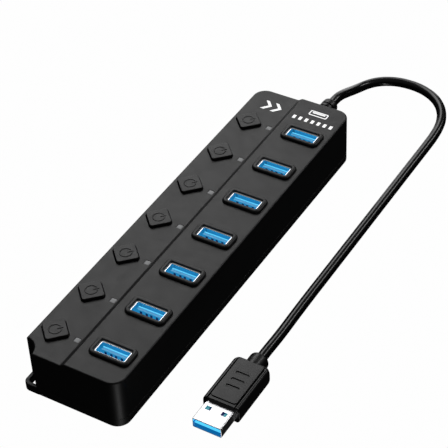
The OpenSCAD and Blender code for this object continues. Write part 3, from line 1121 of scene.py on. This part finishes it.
@dataclass
class Sleeve:
    """A drawn metal sleeve: a round-cornered tube of sheet with windows in its long walls."""

    width: float
    depth: float
    corner: float
    sheet: float
    rows: Sequence[Point3]
    windows: Sequence[Punched] = ()

    def perimeter(self, inset: float) -> list[Point2]:
        """Section of the sleeve.

        Args:
            inset: how far inside the outer face.

        Returns:
            Points, anticlockwise, with a point at each window's edge.
        """
        half_w, half_d = self.width / 2 - inset, self.depth / 2 - inset
        radius = max(self.corner - inset, 0.06)
        points: list[Point2] = []
        for side_u, side_v, start in ((1, 1, 0), (-1, 1, 90), (-1, -1, 180), (1, -1, 270)):
            for k in range(6):
                a = math.radians(start + 18 * k)
                points.append((side_u * (half_w - radius) + radius * math.cos(a),
                               side_v * (half_d - radius) + radius * math.sin(a)))
            if (side_u, side_v) in ((1, 1), (-1, -1)):
                cuts = sorted({u for w in self.windows for u in w.across}, reverse=side_u > 0)
                points += [(u, side_v * half_d) for u in cuts]
        return points

    def open_cell(self, u: float, v: float, w: float) -> bool:
        """Whether a place on the wall lies in a window.

        Args:
            u: place across the sleeve.
            v: place through the sleeve's depth.
            w: place along the sleeve.

        Returns:
            True where metal has been punched out.
        """
        return any(p.wall * v > self.depth * 0.4 and p.across[0] < u < p.across[1]
                   and p.along[0] < w < p.along[1] for p in self.windows)

    def add(self, skin: Skin, place: Callable[[float, float, float], Point3]) -> None:
        """Adds the sleeve to a mesh.

        Args:
            skin: the mesh.
            place: turns a place across, through and along the sleeve into a point.
        """
        outer, inner = [], []
        for along, outset, inset in self.rows:
            outer.append(skin.ring(place(u, v, along) for u, v in self.perimeter(outset)))
            inner.append(skin.ring(place(u, v, along) for u, v in self.perimeter(inset)))
        section = self.perimeter(0.0)
        count = len(section)

        def is_open(j: int, k: int) -> bool:
            """Whether the cell at a row and a column is punched out."""
            if not 0 <= j < len(self.rows) - 1:
                return False
            a, b = section[k % count], section[(k + 1) % count]
            middle = (self.rows[j][0] + self.rows[j + 1][0]) / 2
            return self.open_cell((a[0] + b[0]) / 2, (a[1] + b[1]) / 2, middle)

        for j in range(len(self.rows) - 1):
            for k in range(count):
                n = (k + 1) % count
                if not is_open(j, k):
                    skin.face((outer[j][k], outer[j][n], outer[j + 1][n], outer[j + 1][k]))
                    skin.face((inner[j][k], inner[j + 1][k], inner[j + 1][n], inner[j][n]))
                    continue
                edges = (((j, k), (j, n), (j - 1, k)), ((j + 1, k), (j + 1, n), (j + 1, k)),
                         ((j, k), (j + 1, k), (j, k - 1)), ((j, n), (j + 1, n), (j, k + 1)))
                for a, b, beside in edges:
                    if not is_open(*beside):
                        skin.face((outer[a[0]][a[1]], outer[b[0]][b[1]],
                                   inner[b[0]][b[1]], inner[a[0]][a[1]]))
        skin.bridge([outer[0], inner[0]])
        skin.bridge([outer[-1], inner[-1]])


@dataclass
class Socket:
    """An upright USB-A socket: a bright shell with spring fingers around a blue tongue."""

    width: float = 13.1
    depth: float = 5.7
    corner: float = 0.8
    sheet: float = 0.3
    foot_z: float = 7.7
    floor_z: float = 12.0
    lip_z: float = 23.3
    lip_fold: Point2 = (-0.12, 0.42)
    finger_x: Point2 = (2.5, 4.5)
    finger_z: Point2 = (15.5, 20.8)
    tongue: Point2 = (11.1, 1.9)
    tongue_y: float = 0.8
    tongue_z: float = 22.1
    slots: tuple[float, ...] = (-3.5, -1.0, 1.0, 3.5)
    slot_width: float = 1.1
    slot_depth: float = 0.75
    end_bar: float = 0.35
    ridge: float = 0.45
    tail_width: float = 1.6
    tail_depth: float = 2.8

    def add_finger(self, skin: Skin, x: float, y: float, wall: int) -> None:
        """Adds one spring finger that bows into the socket.

        Args:
            skin: the mesh.
            x: the finger's middle.
            y: the socket's middle along the body.
            wall: 1 for the far wall, -1 for the near wall.
        """
        low, high = self.finger_z
        bow = ((0.0, 0.0), (0.2, 0.06), (0.45, 0.26), (0.68, 0.46), (0.82, 0.42), (0.93, 0.2))
        rings = []
        for share, inward in bow:
            z = low - 0.1 + (high - low) * share
            near = self.depth / 2 - inward
            rings.append(skin.ring((x + u, y + wall * (near - v), z)
                                   for u, v in ((-0.7, 0), (0.7, 0), (0.7, 0.25), (-0.7, 0.25))))
        skin.bridge(rings)
        skin.face(rings[0])
        skin.face(rings[-1])

    def build_shell(self, number: int, x: float, y: float) -> None:
        """Makes the metal shell.

        Args:
            number: the socket's number, from one.
            x: the socket's middle across the body.
            y: the socket's middle along the body.
        """
        lip, sheet = self.lip_z, self.sheet
        low, high = self.finger_z
        first, last = self.finger_x
        windows = [Punched(wall, (min(s * first, s * last), max(s * first, s * last)), (low, high))
                   for wall in (-1, 1) for s in (-1, 1)]
        rows = ((self.foot_z, 0.0, sheet), (low, 0.0, sheet), (high, 0.0, sheet), (lip - 0.5, 0.0, sheet),
                (lip - 0.16, -0.06, self.lip_fold[1]), (lip - 0.05, *self.lip_fold),
                (lip, self.lip_fold[0] + 0.03, self.lip_fold[1] - 0.04))
        skin = Skin()
        sleeve = Sleeve(self.width, self.depth, self.corner, sheet, rows, windows)
        sleeve.add(skin, lambda u, v, w: (x + u, y + v, w))
        for wall in (-1, 1):
            for s in (-1, 1):
                self.add_finger(skin, x + s * (first + last) / 2, y, wall)
        for s in (-1, 1):
            tail = (x + s * (self.width - sheet) / 2, y)
            skin.pillar((sheet, self.tail_width, 0.1), tail, self.foot_z - self.tail_depth, self.foot_z + 0.5)
        # The band along the lip's edge takes the painted highlight finish.
        skin.finish = 1
        edge = (self.lip_fold[0] + 0.05, self.lip_fold[1] - 0.2)
        rings = [skin.ring((x + u, y + v, lip + rise) for u, v in sleeve.perimeter(inset))
                 for inset, rise in ((edge[0], -0.02), (edge[0], 0.02), (edge[1], 0.02), (edge[1], -0.02))]
        skin.bridge([*rings, rings[0]])
        thing = to_object(f"socket_{number}_shell", skin, [Finishes.SHELL, Finishes.LIP])
        mount(thing, ROOT, "shell_steel", f"port_shell_{number}")

    def build_insulator(self, number: int, x: float, y: float) -> None:
        """Makes the blue body with its slotted tongue.

        Args:
            number: the socket's number, from one.
            x: the socket's middle across the body.
            y: the socket's middle along the body.
        """
        skin = Skin()
        gap = 2 * self.sheet + 0.1
        rows = ((0.0, self.foot_z), (0.0, self.floor_z - 0.3), (0.3, self.floor_z))
        skin.solid([skin.ring(at_height(
            rounded(self.width - gap - 2 * i, self.depth - gap - 2 * i, 0.5 - i / 2, (x, y)), z))
            for i, z in rows])
        width, thick = self.tongue
        back = y + self.tongue_y + thick / 2
        front = y + self.tongue_y - thick / 2
        slab = thick - self.slot_depth
        root = self.floor_z - 0.5
        bevel = round_over(0.28, 4)
        rows = [(i, self.tongue_z - d) for i, d in bevel] + [(0.0, root)]
        skin.solid(skin.stack((width, slab, 0.45), (x, back - slab / 2), rows))
        cuts = [s + side * self.slot_width / 2 for s in self.slots for side in (-1, 1)]
        edges = [-width / 2, *cuts, width / 2]
        deep = self.slot_depth + 0.3
        below = self.tongue_z - self.end_bar
        for left, right in zip(edges[::2], edges[1::2]):
            centre = (x + (left + right) / 2, front + deep / 2)
            skin.pillar((right - left, deep, 0.12), centre, below - 0.05, root)
        rows = [(i, self.tongue_z - 0.02 - d) for i, d in round_over(0.2, 3)] + [(0.0, below)]
        skin.solid(skin.stack((width, deep, 0.3), (x, front + deep / 2), rows))
        # The ridge along the tongue's top edge takes the painted highlight finish.
        skin.finish = 1
        ridge = (x, back - self.ridge / 2 - 0.05)
        skin.solid(skin.stack((width - 0.4, self.ridge, 0.12), ridge, (
            (0.08, self.tongue_z + 0.12), (0.0, self.tongue_z + 0.04), (0.0, self.tongue_z - 0.2))))
        # Dark blocks in the slots: painted shade for the pockets.
        skin.finish = 2
        for slot in self.slots:
            centre = (x + slot, front + self.slot_depth / 2 + 0.1)
            skin.pillar((self.slot_width + 0.04, self.slot_depth - 0.1, 0.1), centre,
                        below - 0.01, root + 0.1)
        finishes = [Finishes.BLUE, Finishes.BLUE_LIT, Finishes.BLUE_PAINTED_SHADE]
        thing = to_object(f"socket_{number}_tongue", skin, finishes)
        mount(thing, ROOT, "socket_blue", f"port_insulator_{number}")

    def build_contacts(self, repeater: Repeater, ports: Sequence[Point2]) -> None:
        """Lays the long sprung contacts and the short pads of every socket.

        Args:
            repeater: the node tree that lays copies.
            ports: middles of the sockets.
        """
        skin = Skin()
        front = self.tongue_y - self.tongue[1] / 2
        bow = ((13.0, 0.3), (15.0, 0.1), (17.0, -0.3), (18.3, -0.45), (19.2, -0.3), (19.9, 0.1))
        for slot in self.slots:
            skin.solid([skin.ring((slot + u, front + out + v, z)
                                  for u, v in ((-0.35, 0), (0.35, 0), (0.35, 0.16), (-0.35, 0.16)))
                        for z, out in bow])
        for pad in (-2.25, 0.0, 2.25):
            skin.pillar((0.6, 0.14, 0.05), (pad, front - 0.02), 19.2, 20.6)
        thing = repeater.lay("socket_contacts", skin, [(*p, 0.0) for p in ports], Finishes.GOLD)
        mount(thing, ROOT, "contact_gold", "port_contacts")

    def build(self, number: int) -> Point2:
        """Makes one socket.

        Args:
            number: the socket's number, from one.

        Returns:
            The socket's middle.
        """
        middle, _ = box_mm(f"port_shell_{number}")
        self.build_shell(number, middle.x, middle.y)
        self.build_insulator(number, middle.x, middle.y)
        return middle.x, middle.y


# ---------- lead and plug ----------

@dataclass
class Lead:
    """The captive lead: a strain relief and a cable that turns back beside the hub."""

    diameter: float = 4.2
    length: float = 248.4
    exit: Point3 = (4.0, 105.0, 11.0)
    wall_y: float = 89.0
    route: tuple[Point3, ...] = (
        (4, 105, 11), (4, 107, 11), (4, 111, 10.6), (3.9, 115, 9.4), (3.8, 119, 7.7), (3.7, 123, 5.9),
        (3.8, 127, 4.2), (4.3, 131, 2.9), (5.4, 134.6, 2.3), (7.4, 137.8, 2.2), (10.2, 140.5, 2.2),
        (13.7, 142.6, 2.2), (17.8, 144, 2.2), (22.5, 144.5, 2.2), (27.3, 144.2, 2.2), (32, 142.9, 2.2),
        (36.5, 140.6, 2.2), (40.4, 137.3, 2.2), (43.6, 133.1, 2.2), (46, 128.1, 2.2), (47.5, 122.4, 2.2),
        (48.2, 116, 2.2), (48.4, 108, 2.2), *((48.4, y, 2.2) for y in range(98, 1, -12)),
        (48.5, -9, 2.2), (48.8, -18, 2.5), (49.2, -25, 3.3), (49.4, -30, 3.9), (49.4, -33, 4),
        (49.4, -37.2, 4))

    def build_cable(self) -> bpy.types.Object:
        """Makes the cable as one smooth curve.

        Returns:
            The finished piece.
        """
        data = bpy.data.curves.new("cable_line", "CURVE")
        data.dimensions = "3D"
        data.bevel_depth = self.diameter / 2 * MM
        data.bevel_resolution = 7
        data.use_fill_caps = True
        data.resolution_u = 8
        data.materials.append(Finishes.CABLE.material())
        spline = data.splines.new("BEZIER")
        spline.bezier_points.add(len(self.route) - 1)
        for knot, place in zip(spline.bezier_points, self.route):
            knot.co = Vector(place) * MM
            knot.handle_left_type = knot.handle_right_type = "AUTO"
        thing = bpy.data.objects.new("lead_cable", data)
        bpy.context.scene.collection.objects.link(thing)
        return mount(thing, ROOT, "cable_black", "cable")

    def build_relief(self) -> bpy.types.Object:
        """Makes the ribbed strain relief by turning its profile about the exit.

        Returns:
            The finished piece.
        """
        profile = [(0.0, -1.4), (3.0, -1.4), (3.05, 0.0), (4.05, 0.0), (4.2, 0.15), (4.2, 0.95),
                   (4.05, 1.15), (3.9, 1.5), (3.84, 2.2)]
        for k in range(5):
            start, radius = 2.9 + 2.2 * k, 3.8 - 0.05 * k
            profile += [(radius, start), (radius - 0.08, start + 0.12), (radius - 0.45, start + 0.2),
                        (radius - 0.45, start + 0.75), (radius - 0.1, start + 0.85),
                        (radius - 0.02, start + 1.0)]
        profile += [(3.5, 14.6), (3.42, 15.3), (3.15, 15.75), (2.7, 15.98), (2.05, 16.0), (0.0, 16.0)]
        skin = Skin()
        turns = [2 * math.pi * k / 40 for k in range(40)]
        x, _, z = self.exit
        skin.bridge([skin.ring((x + r * math.cos(a), self.wall_y + d, z + r * math.sin(a)) for a in turns)
                     for r, d in profile])
        thing = to_object("strain_relief_boot", skin, [Finishes.GRIP])
        return mount(thing, ROOT, "lead_black", "strain_relief")

    def declare(self, cable: bpy.types.Object, on_it: Sequence[bpy.types.Object]) -> None:
        """Turns the exit point into metres and drops the result.

        Args:
            cable: the cable's curve, not used.
            on_it: the pieces at its two ends, not used.
        """
        [v * MM for v in self.exit]


@dataclass
class Plug:
    """The USB-A plug at the lead's free end."""

    x: float = 49.4
    axis_z: float = 4.0
    grip: Point2 = (15.4, 7.5)
    grip_y: Point2 = (-66.0, -42.4)
    panel: Point2 = (10.8, 1.1)
    panel_z: float = 4.0
    panel_groove: Point2 = (0.9, 0.9)
    panel_start: float = 1.5
    shoulder: float = 2.6
    boot_end: float = -37.2
    boot_radius: float = 3.9
    shell: Point3 = (12.0, 4.5, 0.55)
    tip_y: float = -76.0
    shell_end: float = -60.0
    sheet: float = 0.3
    window_x: float = 3.25
    window: Point2 = (2.2, 1.9)
    window_y: float = -69.2
    slab: float = 1.95
    bars: tuple[float, ...] = (-57.6, -54.0, -50.4)
    bar: Point2 = (1.2, 5.4)
    contact: Point2 = (1.0, 4.4)
    contact_x: tuple[float, ...] = (-3.5, -1.0, 1.0, 3.5)
    contact_start: float = 4.2

    def add_panel(self, skin: Skin, way: int) -> None:
        """Adds the flat panel on one face; only the upper face gets the three grip slots.

        Args:
            skin: the mesh.
            way: 1 for the upper face, -1 for the lower face.
        """
        width, corner = self.panel
        start, end = self.grip_y[0] + self.panel_start, self.grip_y[1] - 1.0
        centre = (self.x, (start + end) / 2)
        rows = [(0.0, self.panel_z - 1.4)] + [(i, self.panel_z - d) for i, d in reversed(round_over(0.2, 3))]
        rings = skin.stack((width, end - start, corner), centre,
                           [(i, self.axis_z + way * z) for i, z in rows])
        skin.bridge(rings)
        slots = []
        if way > 0:
            deep, wide = self.bar
            for y in self.bars:
                rows = [(-0.12, self.panel_z), (0.0, self.panel_z - 0.1), (0.05, self.panel_z - 0.4)]
                slot = [skin.ring(at_height(
                    rounded(wide - 2 * i, deep - 2 * i, deep / 2 - i - 0.01, (self.x, y)),
                    self.axis_z + z)) for i, z in rows]
                skin.bridge(slot)
                skin.plate(slot[-1])
                slots.append(slot[0])
        skin.plate(rings[-1], slots)
        skin.plate(rings[0])

    def body_half(self) -> list[Point2]:
        """Right half of the grip's section, from the top middle to the bottom middle.

        Returns:
            Points across and up, with a groove beside each panel.
        """
        width, height = self.grip
        half_w, half_h = width / 2, height / 2
        groove, sink = self.panel_groove
        edge = self.panel[0] / 2 - 0.05
        radius = half_w - edge - groove
        floor = half_h - sink
        top = [(0.0, half_h - 0.1), (edge, half_h - 0.1), (edge, floor), (edge + groove * 0.6, floor)]
        for k in range(8):
            a = math.radians(100 - 100 * k / 7)
            top.append((half_w - radius + radius * math.cos(a),
                        half_h - 0.1 + self.shoulder * (math.sin(a) - 1)))
        return top + [(u, -v) for u, v in reversed(top)]

    def build_grip(self) -> bpy.types.Object:
        """Makes the soft grip with its panels and the boot behind it.

        Returns:
            The finished piece.
        """
        skin = Skin()
        width, height = self.grip
        front, back = self.grip_y
        half = self.body_half()
        section = half + [(-u, v) for u, v in reversed(half[1:-1])]
        rows = [(front + d, i, i * 0.8) for i, d in round_over(0.4, 4)]
        rows += [(back - d, i, i * 0.35) for i, d in reversed(round_over(2.2, 7))]
        rings = [skin.ring((self.x + u * (1 - 2 * i / width), y, self.axis_z + v * (1 - 2 * j / height))
                           for u, v in section) for y, i, j in rows]
        skin.solid(rings, "xz")
        self.add_panel(skin, 1)
        self.add_panel(skin, -1)
        turns = [2 * math.pi * k / 36 for k in range(36)]
        length, radius = self.boot_end - back, self.boot_radius
        profile = [(0.0, -1.5), (radius, -1.5), (radius, 0.0)]
        profile += [(radius - i, length - d) for i, d in reversed(round_over(1.5, 6))]
        profile.append((0.0, length))
        skin.bridge([skin.ring((self.x + r * math.cos(a), back + d, self.axis_z + r * math.sin(a))
                     for a in turns) for r, d in profile])
        return mount(to_object("plug_grip_boot", skin, [Finishes.GRIP]), ROOT, "grip_black", "plug_grip")

    def build_shell(self) -> bpy.types.Object:
        """Makes the bright shell with two windows in each face.

        Returns:
            The finished piece.
        """
        width, depth, corner = self.shell
        half_w, half_l = self.window[0] / 2, self.window[1] / 2
        sheet = self.sheet
        windows = [Punched(wall, (s * self.window_x - half_w, s * self.window_x + half_w),
                           (self.window_y - half_l, self.window_y + half_l))
                   for wall in (-1, 1) for s in (-1, 1)]
        rows = ((self.tip_y, 0.14, sheet - 0.02), (self.tip_y + 0.08, 0.05, sheet),
                (self.tip_y + 0.3, 0.0, sheet), (self.window_y - half_l, 0.0, sheet),
                (self.window_y + half_l, 0.0, sheet), (self.shell_end, 0.0, sheet))
        skin = Skin()
        Sleeve(width, depth, corner, sheet, rows, windows).add(
            skin, lambda u, v, w: (self.x + u, w, self.axis_z + v))
        thing = to_object("plug_metal_shell", skin, [Finishes.BRIGHT])
        return mount(thing, ROOT, "shell_bright", "plug_shell")

    def build_insulator(self) -> bpy.types.Object:
        """Makes the blue slab inside the shell.

        Returns:
            The finished piece.
        """
        skin = Skin()
        width = self.shell[0] - 2 * self.sheet - 0.06
        height = self.shell[1] - 2 * self.sheet - 0.05
        floor = self.axis_z - self.shell[1] / 2 + self.sheet
        rows = [(self.tip_y + 0.35 + d, i) for i, d in round_over(0.15, 3)] + [(self.shell_end - 0.5, 0.0)]
        middle = floor + self.slab / 2
        skin.solid([skin.ring((self.x + u, y, middle + v) for u, v in rounded(
            width - 2 * i, self.slab - 2 * i, 0.3 - i / 2)) for y, i in rows], "xz")
        rows = [(self.grip_y[0] - 1.5, 0.1), (self.grip_y[0] - 1.3, 0.0), (self.shell_end - 0.5, 0.0)]
        skin.solid([skin.ring((self.x + u, y, self.axis_z + v) for u, v in rounded(
            width - 2 * i, height - 2 * i, 0.25)) for y, i in rows], "xz")
        # A plate on the slab's top near the tip: painted highlight.
        skin.finish = 1
        length = self.window_y - self.tip_y - 2.0
        plate = (self.x, self.tip_y + 0.38 + length / 2)
        skin.pillar((width - 0.5, length, 0.2), plate, floor + self.slab - 0.3, floor + self.slab + 0.02)
        top = self.axis_z + self.shell[1] / 2 - self.sheet - 0.12
        # Pads under each window: inner part painted shade, outer part painted light.
        for side in (-1, 1):
            for finish, near, far in ((3, -1.3, -0.2), (2, -0.2, 1.3)):
                skin.finish = finish
                pad = (self.x + side * (self.window_x + (near + far) / 2), self.window_y)
                skin.pillar((far - near, self.window[1] + 0.6, 0.1), pad, floor + self.slab - 0.3, top)
        finishes = [Finishes.PLUG_BLUE, Finishes.BLUE_LIT, Finishes.TEAL, Finishes.BLUE_PAINTED_SHADE]
        return mount(to_object("plug_blue_slab", skin, finishes), ROOT, "plug_blue", "plug_insulator")

    def build_contacts(self, repeater: Repeater) -> bpy.types.Object:
        """Lays the four flat contacts on the slab.

        Args:
            repeater: the node tree that lays copies.

        Returns:
            The finished piece.
        """
        skin = Skin()
        skin.solid(skin.stack((*self.contact, 0.3), (0, 0), ((0.0, 0.0), (0.0, 0.08), (0.06, 0.13))))
        height = self.axis_z - self.shell[1] / 2 + self.sheet + self.slab + 0.01
        places = [(self.x + s, self.tip_y + self.contact_start, height) for s in self.contact_x]
        thing = repeater.lay("plug_contact_strips", skin, places, Finishes.GOLD)
        return mount(thing, ROOT, "contact_gold", "plug_contacts")


# ---------- inner parts ----------

@dataclass
class InnerParts:
    """Plain nodes whose shape is right, dressed with finishes of their own."""

    finishes: dict[str, Finish] = field(default_factory=lambda: {
        "circuit_board": Finishes.BOARD, "led_chips": Finishes.LAMP, "hub_chips": Finishes.CHIP,
        "crystals": Finishes.CAN_STEEL, "capacitors": Finishes.CAN_ALUMINIUM, "inner_leads": Finishes.CORE,
        "printed_marks": Finishes.INK,
        **{f"switch_body_{i + 1}": Finishes.SWITCH for i in range(PORTS)},
        **{f"switch_plunger_{i + 1}": Finishes.ACETAL for i in range(PORTS)}})

    def dress(self) -> None:
        """Gives each node its finish."""
        for name, finish in self.finishes.items():
            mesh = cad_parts[name].data
            if not mesh.materials:
                mesh.materials.append(None)
            for k in range(len(mesh.materials)):
                mesh.materials[k] = finish.material()
            LOG.info("%s dressed in %s", name, finish.name)


# ---------- studio ----------

@dataclass(frozen=True)
class Softbox:
    """A rectangular lamp that faces the origin."""

    name: str
    way: Point3
    along: Point3
    size: Point2
    radiance: float
    reach: float = 1.3

    def build(self) -> None:
        """Makes the lamp."""
        data = bpy.data.lights.new(self.name, "AREA")
        data.shape = "RECTANGLE"
        data.size, data.size_y = self.size
        data.energy = self.radiance * math.pi * self.size[0] * self.size[1]
        lamp = bpy.data.objects.new(self.name, data)
        bpy.context.scene.collection.objects.link(lamp)
        back = Vector(self.way).normalized()
        across = Vector(self.along).cross(back).normalized()
        turn = Matrix((across, back.cross(across), back)).transposed().to_4x4()
        lamp.matrix_world = Matrix.Translation(back * self.reach) @ turn
        lamp.visible_camera = False


@dataclass
class Studio:
    """Camera, floor, sky and lamps."""

    eye: Point3 = (0.26703, -0.39855, 0.43699)
    right: Point3 = (0.86050, 0.50788, -0.04008)
    up: Point3 = (-0.30745, 0.58041, 0.75406)
    lens: float = 130.9
    floor_half: float = 4.0
    lamps: tuple[Softbox, ...] = (
        Softbox("far left softbox", (-0.5, 0.55, 0.67), (0.414, 0.789, -0.453), (0.54, 0.95), 2.7),
        Softbox("far low softbox", (-0.411, 0.9, 0.0), (0, 0, 1), (0.9, 1.0), 1.0),
        Softbox("far right strip", (0.464, 0.614, 0.638), (0.3, -0.78, 0.53), (0.14, 1.0), 5.5),
        Softbox("corner strip", (0.533, -0.511, -0.673), (0, 0, 1), (0.1, 0.7), 3.0, 0.8),
    )

    def build_camera(self) -> None:
        """Makes the camera and sets it as the scene's own."""
        right, up = Vector(self.right).normalized(), Vector(self.up).normalized()
        back = right.cross(up).normalized()
        turn = Matrix((right, back.cross(right), back)).transposed().to_4x4()
        data = bpy.data.cameras.new("camera")
        data.lens = self.lens
        data.clip_start, data.clip_end = 0.01, 50
        camera = bpy.data.objects.new("camera", data)
        bpy.context.scene.collection.objects.link(camera)
        camera.matrix_world = Matrix.Translation(self.eye) @ turn
        bpy.context.scene.camera = camera

    def build_floor(self) -> None:
        """Makes the pale floor, which lights nothing."""
        half = self.floor_half
        mesh = bpy.data.meshes.new("floor")
        mesh.from_pydata([(-half, -half, 0), (half, -half, 0), (half, half, 0), (-half, half, 0)], [],
                         [(0, 1, 2, 3)])
        paint = bpy.data.materials.new("floor_paint")
        paint.use_nodes = True
        graph = Graph(paint.node_tree)
        shader = graph.node("ShaderNodeBsdfPrincipled", inputs={
            "Base Color": (0, 0, 0, 1), "Roughness": 1.0, "Specular IOR Level": 0.0,
            "Emission Color": (1, 1, 1, 1), "Emission Strength": 0.99})
        graph.node("ShaderNodeOutputMaterial", inputs={"Surface": shader.outputs[0]})
        mesh.materials.append(paint)
        floor = bpy.data.objects.new("floor", mesh)
        bpy.context.scene.collection.objects.link(floor)
        floor.visible_glossy = floor.visible_diffuse = floor.visible_shadow = False

    def build_sky(self) -> None:
        """Makes a white backdrop and a dome that lights from above only."""
        world = bpy.data.worlds.new("sky")
        bpy.context.scene.world = world
        world.use_nodes = True
        graph = Graph(world.node_tree)
        way = graph.node("ShaderNodeTexCoord").outputs["Generated"]
        height = graph.node("ShaderNodeSeparateXYZ", inputs={0: way}).outputs[2]
        dome = graph.node("ShaderNodeMapRange", {"interpolation_type": "SMOOTHSTEP"}, {
            "Value": height, "From Min": 0.1, "From Max": 0.8, "To Min": 0.006, "To Max": 0.1})
        seen = Value(graph, graph.node("ShaderNodeLightPath").outputs["Is Camera Ray"])
        strength = seen + (1 - seen) * Value(graph, dome.outputs[0])
        background = graph.node("ShaderNodeBackground", inputs={"Color": (1, 1, 1, 1), "Strength": strength})
        graph.node("ShaderNodeOutputWorld", inputs={"Surface": background.outputs[0]})

    def build(self) -> None:
        """Makes the floor, the sky and the lamps."""
        self.build_floor()
        self.build_sky()
        for lamp in self.lamps:
            lamp.build()
        bpy.context.scene.view_settings.view_transform = "Standard"


def main() -> None:
    """Builds the whole hub in order."""
    logging.basicConfig(level=logging.INFO, format="%(name)s: %(message)s")
    studio = Studio()
    studio.build_camera()
    lead, plug, repeater = Lead(), Plug(), Repeater()
    cable = lead.build_cable()
    on_cable = [lead.build_relief(), plug.build_grip(), plug.build_shell(), plug.build_insulator(),
                plug.build_contacts(repeater)]
    lead.declare(cable, on_cable)
    socket, button, window = Socket(), PushButton(), StatusWindow()
    ports = [socket.build(i + 1) for i in range(PORTS)]
    socket.build_contacts(repeater, ports)
    for i in range(PORTS):
        button.build(i + 1)
        window.build(i + 1)
    plan = BodyPlan()
    switch_x = box_mm("switch_plunger_1")[0].x
    window_x = box_mm("light_pipe_1")[0].x
    TopHousing(plan).build(ports, [(switch_x, y) for _, y in ports], [(window_x, y) for _, y in ports])
    cover = BottomCover(plan)
    cover.build(ports)
    cover.build_fixings(repeater, ports)
    InnerParts().dress()
    studio.build()


if __name__ == "__main__":
    main()
